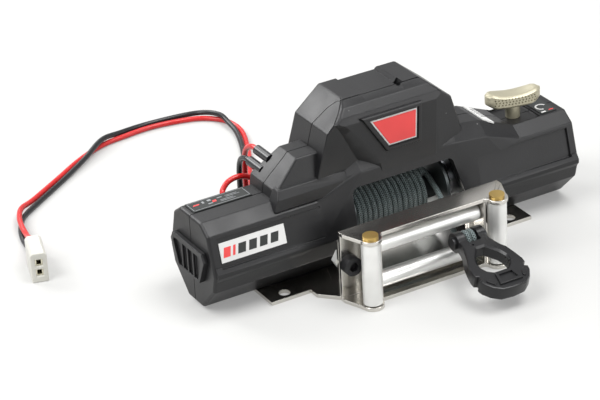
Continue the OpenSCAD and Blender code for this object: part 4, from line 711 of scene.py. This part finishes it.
# Two shells that meet along the seam, an outline of (y, z); the rear one has screw holes
seam = [(0, -3), (0, 22), (-0.2, 29.5), (0.1, 31.5), (0.2, 35.4), (-0.4, 38.2), (-1.4, 39.6), (-2.7, 40.3),
        (-2.7, 44)]
seam_gap, seam_bound, half_bound = 0.1, 60, 20
along_x = Matrix(((0, 0, 1, 0), (1, 0, 0, 0), (0, 1, 0, 0), (0, 0, 0, 1)))
screw_seats = ((-45.4, 8.1, 9.65), (45.4, 8.1, 9.65), (-8.6, 6.6, 33.4), (8.6, 6.6, 33.4))
head_bore, screw_bore = 1.55, 0.85
shells = []
for name, side in (("front_shell", -1), ("rear_shell", 1)):
    shell = link(name, housing.data.copy())
    outline = [(y + side * seam_gap, z) for y, z in seam]
    outline += [(side * half_bound, 44), (side * half_bound, -3)]
    combine(shell, "INTERSECT", prism("half", outline, -seam_bound, seam_bound, along_x))
    shells.append(shell)
bpy.data.objects.remove(housing)
tools = []
for x, seat, z in screw_seats:
    tools.append(rod("rod", (x, seat, z), (x, depth_bound, z), head_bore))
    tools.append(rod("rod", (x, 0, z), (x, depth_bound, z), screw_bore, 16))
combine(shells[1], "DIFFERENCE", *tools)
for shell, node_name in zip(shells, ("front_housing", "rear_housing")):
    dress(soft_shade(shell), "housing_plastic", "housing", node_name)

# Rope on the drum, with uneven turns
turns, coil_steps = 15, 540
coil_left, coil_length, coil_reach, coil_start = -9.9, 19.9, 5.37, 0.6
wrap_radius, lead_radius, loop_radius, rope_sides, lead_steps = 0.68, 0.63, 0.62, 12, 6
sway, half_turn_sway, sag, swell = 0.13, 0.05, 0.16, 0.03


def coil_point(turn):
    angle = 2 * math.pi * turn
    uneven = (sway * math.sin(1.9 * turn) * math.sin(0.61 * turn + 1)
              + half_turn_sway * math.sin(angle * 0.5))
    held = (turn > 0.5) * (turn < turns - 0.5)
    reach = coil_reach - sag * (0.5 + 0.5 * math.sin(2.3 * turn + 0.6)) + swell * math.sin(angle * 3)
    return Vector((coil_left + coil_length * turn / turns + uneven * held,
                   -reach * math.sin(angle + coil_start),
                   AXIS_Z + reach * math.cos(angle + coil_start))) * MM


turns_shown = [coil_point(turns * i / coil_steps) for i in range(coil_steps + 1)]
dress(tube("rope_wraps_shown", turns_shown, wrap_radius, rope_sides), "rope", "drum", "rope_wraps")

# Rope from the drum to the hook, and two loops round the hook's pin
hook_pin = Vector((7.9, -24.3, 9.6))
lead_route = [(11.47, 3.2, 14.6), (11.47, 1, 15.8), (11.47, -1.6, 15.45), (11.47, -5, 13.9),
              (11.04, -8.6, 12.2), (9.97, -12, 10.7), (8.94, -15.4, 9.3), (8.33, -18.4, 8.4),
              (8.08, -20.4, 8.2), (7.97, -21.4, 8.4), (7.9, -22, 8.75)]
loop_reach, loop_offset, loop_steps = 1.6, 0.65, 40
lead_shown = tube("rope_lead_shown", in_metres(smooth_route(lead_route, lead_steps)), lead_radius, rope_sides)
dress(lead_shown, "rope", "housing", "rope_lead")
loop_angles = [2 * math.pi * i / loop_steps for i in range(loop_steps)]
eyes = []
for offset in (-loop_offset, loop_offset):
    loop = [hook_pin + Vector((offset, loop_reach * math.cos(a), loop_reach * math.sin(a)))
            for a in loop_angles]
    eyes.append(tube("rope_eye_shown", in_metres(loop), loop_radius, rope_sides, closed=True))
for eye in eyes:
    dress(eye, "rope", "housing", "rope_eye")

# Loose fibres on the front of the wound rope
fibre_count, fibre_start, fibre_radius, fibre_bend = 150, 0.6, 0.035, 0.35
bm = bmesh.new()
for i in range(fibre_count):
    at = coil_point(random.uniform(1, 14))
    out = Vector((0, at.y, at.z - AXIS_Z * MM)).normalized()
    if out.y > 0.2 or (out.z > -0.1 and random.random() < 0.8):
        continue
    start = at + out * fibre_start * MM
    lean = Vector((random.uniform(-1, 1), random.uniform(-0.4, 0.4), random.uniform(-0.7, 0.3)))
    way = (out * 0.7 + lean).normalized()
    bend = Vector((random.uniform(-1, 1), 0, random.uniform(-1, 0.2))) * fibre_bend * MM
    size = random.uniform(0.5, 1.1) * MM
    hair = [start, start + way * size * 0.5, start + way * size + bend]
    cross = way.cross(Vector((1, 0, 0))).normalized() * fibre_radius * MM
    lift = way.cross(cross).normalized() * fibre_radius * MM
    skin(bm, [[bm.verts.new(q + cross * math.cos(a) + lift * math.sin(a)) for a in (0, 2.1, 4.2)]
              for q in hair])
dress(from_bmesh("rope_fray", bm), "rope", "drum")

# Hook in its own frame: cast ring with cut corners, side notches, ears and a raised frame at its front
hook_droop, hook_half_t, pin_radius = 15, 1.7, 0.9
ears_half, ears_radius, lock_radius = 3.6, 2.28, 0.62
hook_place = Matrix.Translation(hook_pin * MM) @ Matrix.Rotation(math.radians(hook_droop), 4, "X")
hook_line = mirrored([(3.6, 1.9), (3.6, -2.6), (4.1, -4.4), (5.2, -7.1), (6.1, -9.4), (6.55, -11.6),
                      (6.55, -12.7), (5.8, -13.05), (5.75, -13.8), (6.4, -14.2), (6.1, -15.4), (4.9, -17.2),
                      (3.0, -18.6), (0, -18.9)])
hook_shown = prism("hook_shown", hook_line, -hook_half_t, hook_half_t, soft=0.5)
eye_line = mirrored([(1.0, -4.9), (3.0, -7.6), (3.6, -9.2), (3.55, -10.6), (2.9, -12.0), (1.7, -12.9)])
tools = [prism("eye", eye_line, -3, 3)]
for side in (1, -1):
    bm = hull_of([(x, y, side * z) for spread, z in ((-0.06, 1.2), (0.8, 2.06))
                  for x, y in grow(eye_line, spread)])
    bmesh.ops.scale(bm, vec=(MM, MM, MM), verts=bm.verts)
    tools.append(from_bmesh("eye_rim", bm))
combine(hook_shown, "UNION", rod("ears", (-ears_half, 0, 0), (ears_half, 0, 0), ears_radius, 32))
tools.append(prism("ear_gap", [(-1.6, -2.65), (1.6, -2.65), (1.6, 3), (-1.6, 3)], -4, 4))
tools.append(rod("pin_bore", (-5, 0, 0), (5, 0, 0), pin_radius))
tools.append(rod("screw_bore", (-1.2, -3.7, 0.7), (-1.2, -3.7, 3), lock_radius, 20))
combine(hook_shown, "DIFFERENCE", *tools)
frame_line = [(-2.2, -13.9), (2.2, -13.9), (2.9, -17.3), (-2.9, -17.3)]
rib_foot, rib_top, side_rib_top, rib_width = 1.5, 2.15, 1.95, 0.65
rib = prism("rib", frame_line, rib_foot, rib_top, soft=0.12)
combine(rib, "DIFFERENCE", prism("rib_inner", grow(frame_line, -rib_width), 1.0, 3))
side_rib_line = [(4.0, -15.0), (4.9, -14.5), (5.2, -15.2), (3.9, -16.9), (3.4, -16.5)]
ribs = [rib]
for side in (-1, 1):
    outline = [(side * x, y) for x, y in side_rib_line]
    ribs.append(prism("rib_side", outline, rib_foot, side_rib_top, soft=0.1))
combine(hook_shown, "UNION", *ribs)
hook_shown.data.transform(hook_place)
dress(soft_shade(hook_shown), "hook_black", "hook", "hook")

# Clutch lever: saddle-topped grip with rounded ends and three rows of dimples on each side
lever_rise, lever_turn, lever_reach, lever_width = 1.4, -13, 6.7, 2.5
lever_top, lever_low, boss_foot, boss_head, boss_radius = 27.8, 23.6, 20.55, 24.5, 1.7
dimple_start, dimple_pitch, dimple_radius = -4.9, 0.8, 0.21
dimple_low, dimple_row, dimple_out, dimple_in = 24.75, 0.62, 0.5, 0.3
dimples_in_row, dimple_rows = 13, 3
lever_turned = Matrix.Rotation(math.radians(lever_turn), 4, "Z")
lever_place = Matrix.Translation(Vector((lever_x, 0, lever_rise)) * MM) @ lever_turned
station_shares = [0, 0.2, 0.4, 0.6, 0.74, 0.85, 0.92, 0.97, 0.995]


def lever_half(u):
    return lever_width * max(0.0, 1 - abs(u) ** 3.4) ** 0.5


bm = bmesh.new()
rings = []
for u in [-s for s in reversed(station_shares[1:])] + station_shares:
    w = lever_half(u)
    top = lever_top - 1.25 * (1 - u * u) - 0.9 * max(0, abs(u) - 0.82) / 0.18
    low = lever_low + 1.1 * max(0, abs(u) - 0.7) / 0.3
    cut = min(0.55, w * 0.45)
    ring = [(w - cut, low), (w, low + cut), (w, low + 0.5 * (top - low)), (w, top - cut * 0.9),
            (w - cut, top - 0.12), (w - 2 * cut, top), (0, top - 0.1)]
    rings.append([bm.verts.new((u * lever_reach * MM, y * MM, z * MM)) for y, z in mirrored(ring)])
skin(bm, rings)
lever = from_bmesh("clutch_lever_shown", bm)
bm = bmesh.new()
for side in (-1, 1):
    for row in range(dimple_rows):
        for k in range(dimples_in_row):
            x = dimple_start + dimple_pitch * k + 0.2 * (row % 2)
            z = dimple_low + dimple_row * row
            y = side * lever_half(x / lever_reach)
            pit = [(x + dimple_radius * math.cos(a), z + dimple_radius * math.sin(a))
                   for a in (math.pi / 3 * i for i in range(6))]
            skin(bm, [[bm.verts.new(Vector((px, y + side * d, pz)) * MM) for px, pz in pit]
                      for d in (-dimple_in, dimple_out)])
pits = from_bmesh("pits", bm)
combine(lever, "UNION", rod("boss", (0, 0, boss_foot), (0, 0, boss_head), boss_radius, 32))
combine(lever, "DIFFERENCE", pits)
lever.data.transform(lever_place)
dress(soft_shade(lever, 40), "lever_plate", "clutch", "clutch_lever")

# Badge with a pale border, in a raised dark frame
badge_foot, badge_tilt = Vector((0, -7.765, 28.9)), -4.525
badge_turned = Matrix.Rotation(math.radians(badge_tilt), 4, "X") @ upright
badge_place = Matrix.Translation(badge_foot * MM) @ badge_turned
badge_line = [(-1.8, 0), (5.5, 0), (6.2, 7), (-6.2, 7)]
border = prism("badge_border", grow(badge_line, -0.06), 0, 0.5, badge_place, soft=0.08)
dress(border, "label_white", "housing", "badge_plate")
badge_face = prism("badge_face", grow(badge_line, -0.42), 0.3, 0.62, badge_place, soft=0.06)
dress(badge_face, "badge_red", "housing")
frame_ring = prism("badge_frame", grow(badge_line, 1.15), -0.5, 0.85, badge_place, soft=0.4)
combine(frame_ring, "DIFFERENCE", prism("badge_hole", badge_line, -1, 3, badge_place),
        prism("badge_mouth", grow(badge_line, 0.25), 0.6, 3, badge_place))
dress(soft_shade(frame_ring), "housing_plastic", "housing")


# Printed marks: bars, lines and a curved arrow's band, each between two heights of its own face
def marks(name, slot, outlines, low, high, place=Matrix()):
    pieces = [prism(name, o, low, high, place) for o in outlines]
    bm = bmesh.new()
    for piece in pieces:
        bm.from_mesh(piece.data)
        bpy.data.objects.remove(piece)
    return dress(from_bmesh(name, bm), slot, "housing")


def bar(x, y, w, h, lean=0.0):
    return [(x, y), (x + w, y), (x + w + lean, y + h), (x + lean, y + h)]


def arc_piece(a):
    inner, outer, span = 1.1, 1.5, 22
    center_x, center_y = 43.7, -1.2
    corner_places = ((outer, a), (outer, a + span), (inner, a + span), (inner, a))
    return [(center_x + r * math.cos(math.radians(t)), center_y + r * math.sin(math.radians(t)))
            for r, t in corner_places]


panel_face = Matrix(((1, 0, 0, 0), (0, run.x, -run.y, panel_low.x * MM),
                     (0, run.y, run.x, panel_low.y * MM), (0, 0, 0, 1)))
side_low, side_high, side_bar_y, side_bar_h, side_lean = -0.31, -0.27, 3.9, 2.2, 0.5
marks("side_mark_red", "badge_red",
      [bar(x, side_bar_y, w, side_bar_h, side_lean) for x, w in ((-44.9, 1.7), (-42.6, 0.6))],
      side_low, side_high, panel_face)
marks("side_mark_dark", "label_dark",
      [bar(x, side_bar_y, 1.9, side_bar_h, side_lean) for x in (-41.3, -38.6, -35.9, -33.2)],
      side_low, side_high, panel_face)
top_low, top_high, top_red_high = 22.58, 22.63, 22.64
marks("top_mark_pale", "label_silver",
      [bar(-46.4, 0.5, 13.9, 0.12), bar(-46.4, 4.15, 13.9, 0.12), bar(-46.4, 0.5, 0.12, 3.77),
       bar(-32.6, 0.5, 0.12, 3.77), bar(-43.2, 2.6, 0.5, 0.9), bar(-42.2, 1.6, 1.1, 0.35),
       bar(-41.8, 2.9, 0.9, 0.7), bar(-39.4, 3.0, 1.2, 0.3), bar(-39.2, 1.3, 3.6, 0.16),
       bar(-39.2, 1.8, 3.2, 0.16), bar(-37.4, 2.6, 3.4, 0.16), bar(-37.4, 3.1, 2.9, 0.16)], top_low, top_high)
marks("top_mark_red", "badge_red", [bar(-45.7, 2.5, 1.5, 0.45, 0.4), bar(-41, 1.9, 0.9, 0.8, 0.2)],
      top_low, top_red_high)
clutch_film_low, clutch_film, clutch_mark_low, clutch_mark_high = 22.35, 22.62, 22.6, 22.65
clutch_face = marks("clutch_mark_face", "label_dark", [bar(41.75, -4.2, 4.1, 8.4)], clutch_film_low,
                    clutch_film)
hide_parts("clutch_labels")
slope = (shoulder_low - shoulder_high).normalized()
strip_place = Matrix(((0, slope.x, -slope.y, shoulder_high.x * MM), (-1, 0, 0, 0),
                      (0, slope.y, slope.x, shoulder_high.y * MM), (0, 0, 0, 1)))
strip_plate = marks("clutch_strip", "label_white", [bar(-4.3, 1.6, 8.6, 2.3, 1.2)], -0.2, 0.16, strip_place)
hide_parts("clutch_labels")
marks("clutch_mark_pale", "label_white",
      [arc_piece(a) for a in range(20, 260, 20)]
      + [bar(42.1, -3.9, 1.2, 0.5), bar(42.2, 2.4, 2.6, 0.16), bar(42.2, 2.8, 2.2, 0.16)],
      clutch_mark_low, clutch_mark_high)
marks("clutch_mark_red", "badge_red", [bar(44.2, -3.6, 1.2, 0.35, 0.2)], clutch_mark_low, clutch_mark_high)
marks("strip_mark_dark", "label_dark", [bar(-2.4 + 0.9 * i, 2.3, 0.2, 1.4) for i in range(6)], 0.12, 0.2,
      strip_place)

# Edges of the moulded, bent and turned pieces, widths in mm
edge_widths = {"end_plate": 0.15, "mount_plate": 0.1, "fairlead_frame": 0.12, "plug_housing": 0.25,
               "upright_pins": 0.12, "fairlead_bolts": 0.15, "clevis_pin": 0.12}
for name, width in edge_widths.items():
    NODES[name].modifiers.new("weld", "WELD").merge_threshold = 0.000002
    edge = NODES[name].modifiers.new("bevel", "BEVEL")
    edge.width = width * MM
    edge.segments = 3
    edge.limit_method = "ANGLE"
    edge.angle_limit = math.radians(30)
    edge.harden_normals = False

# Floor that fades to white with distance, in metres
floor_size, floor_color = 4, (0.47, 0.47, 0.46, 1)
fade_start, fade_end, glow_near, glow_far = 0.18, 0.7, 0.22, 1.0
white = (1, 1, 1, 1)
bm = bmesh.new()
bmesh.ops.create_grid(bm, x_segments=1, y_segments=1, size=floor_size)
floor = from_bmesh("floor", bm)
mat = bpy.data.materials.new("floor")
mat.use_nodes = True
mat.node_tree.nodes.remove(bsdf_of(mat))
diffuse = node(mat, "ShaderNodeBsdfDiffuse", Color=floor_color)
ray = node(mat, "ShaderNodeLightPath")
seen = math_node(mat, "MAXIMUM", ray.outputs["Is Camera Ray"], ray.outputs["Is Glossy Ray"])
distance = node(mat, "ShaderNodeVectorMath", operation="LENGTH")
wire(mat, coords(mat), distance.inputs[0])
glow_level = remap(mat, distance.outputs["Value"], fade_start, fade_end, glow_near, glow_far)
glow = node(mat, "ShaderNodeEmission", Color=white)
wire(mat, math_node(mat, "MULTIPLY", seen, glow_level), glow.inputs["Strength"])
both = node(mat, "ShaderNodeAddShader")
wire(mat, diffuse.outputs[0], both.inputs[0])
wire(mat, glow.outputs[0], both.inputs[1])
wire(mat, both.outputs[0], mat.node_tree.nodes["Material Output"].inputs["Surface"])
floor.data.materials.append(mat)

# Sky: white to the camera, dimmer in reflections and as light
fill_level, glossy_level, camera_level = 0.38, 0.62, 1.0
world = bpy.data.worlds.new("studio")
bpy.context.scene.world = world
world.use_nodes = True
sky = world.node_tree.nodes["Background"]
sky.inputs["Color"].default_value = white
ray = node(world, "ShaderNodeLightPath")
clear = math_node(world, "MAXIMUM", ray.outputs["Is Glossy Ray"], ray.outputs["Is Transmission Ray"])
level = remap(world, clear, 0, 1, fill_level, glossy_level)
wire(world, remap(world, ray.outputs["Is Camera Ray"], 0, 1, level, camera_level), sky.inputs["Strength"])


def lamp(name, place, target, size, power, size_y=None):
    data = bpy.data.lights.new(name, "AREA")
    data.shape = "RECTANGLE"
    data.size = size
    data.size_y = size_y or size
    data.energy = power
    way = Vector(target) - Vector(place)
    turned = way.to_track_quat("-Z", "Y").to_matrix().to_4x4()
    link(name, data).matrix_world = Matrix.Translation(place) @ turned


lamp("key", (-0.6, -0.05, 0.7), (0, 0, 0), 0.5, 5)
lamp("back", (-0.14, 0.85, 0.75), (0, 0, 0.02), 1.1, 5.2, 0.4)
lamp("over", (0.22, -0.2, 0.9), (0, 0, 0), 0.5, 6)
lamp("rim", (-0.42, 0.78, 0.56), (0, 0, 0.03), 0.3, 2.4)
lamp("near", (0.32, -0.46, 0.2), (0.03, 0, 0.02), 0.3, 0.9)

bpy.context.scene.view_settings.view_transform = "Standard"
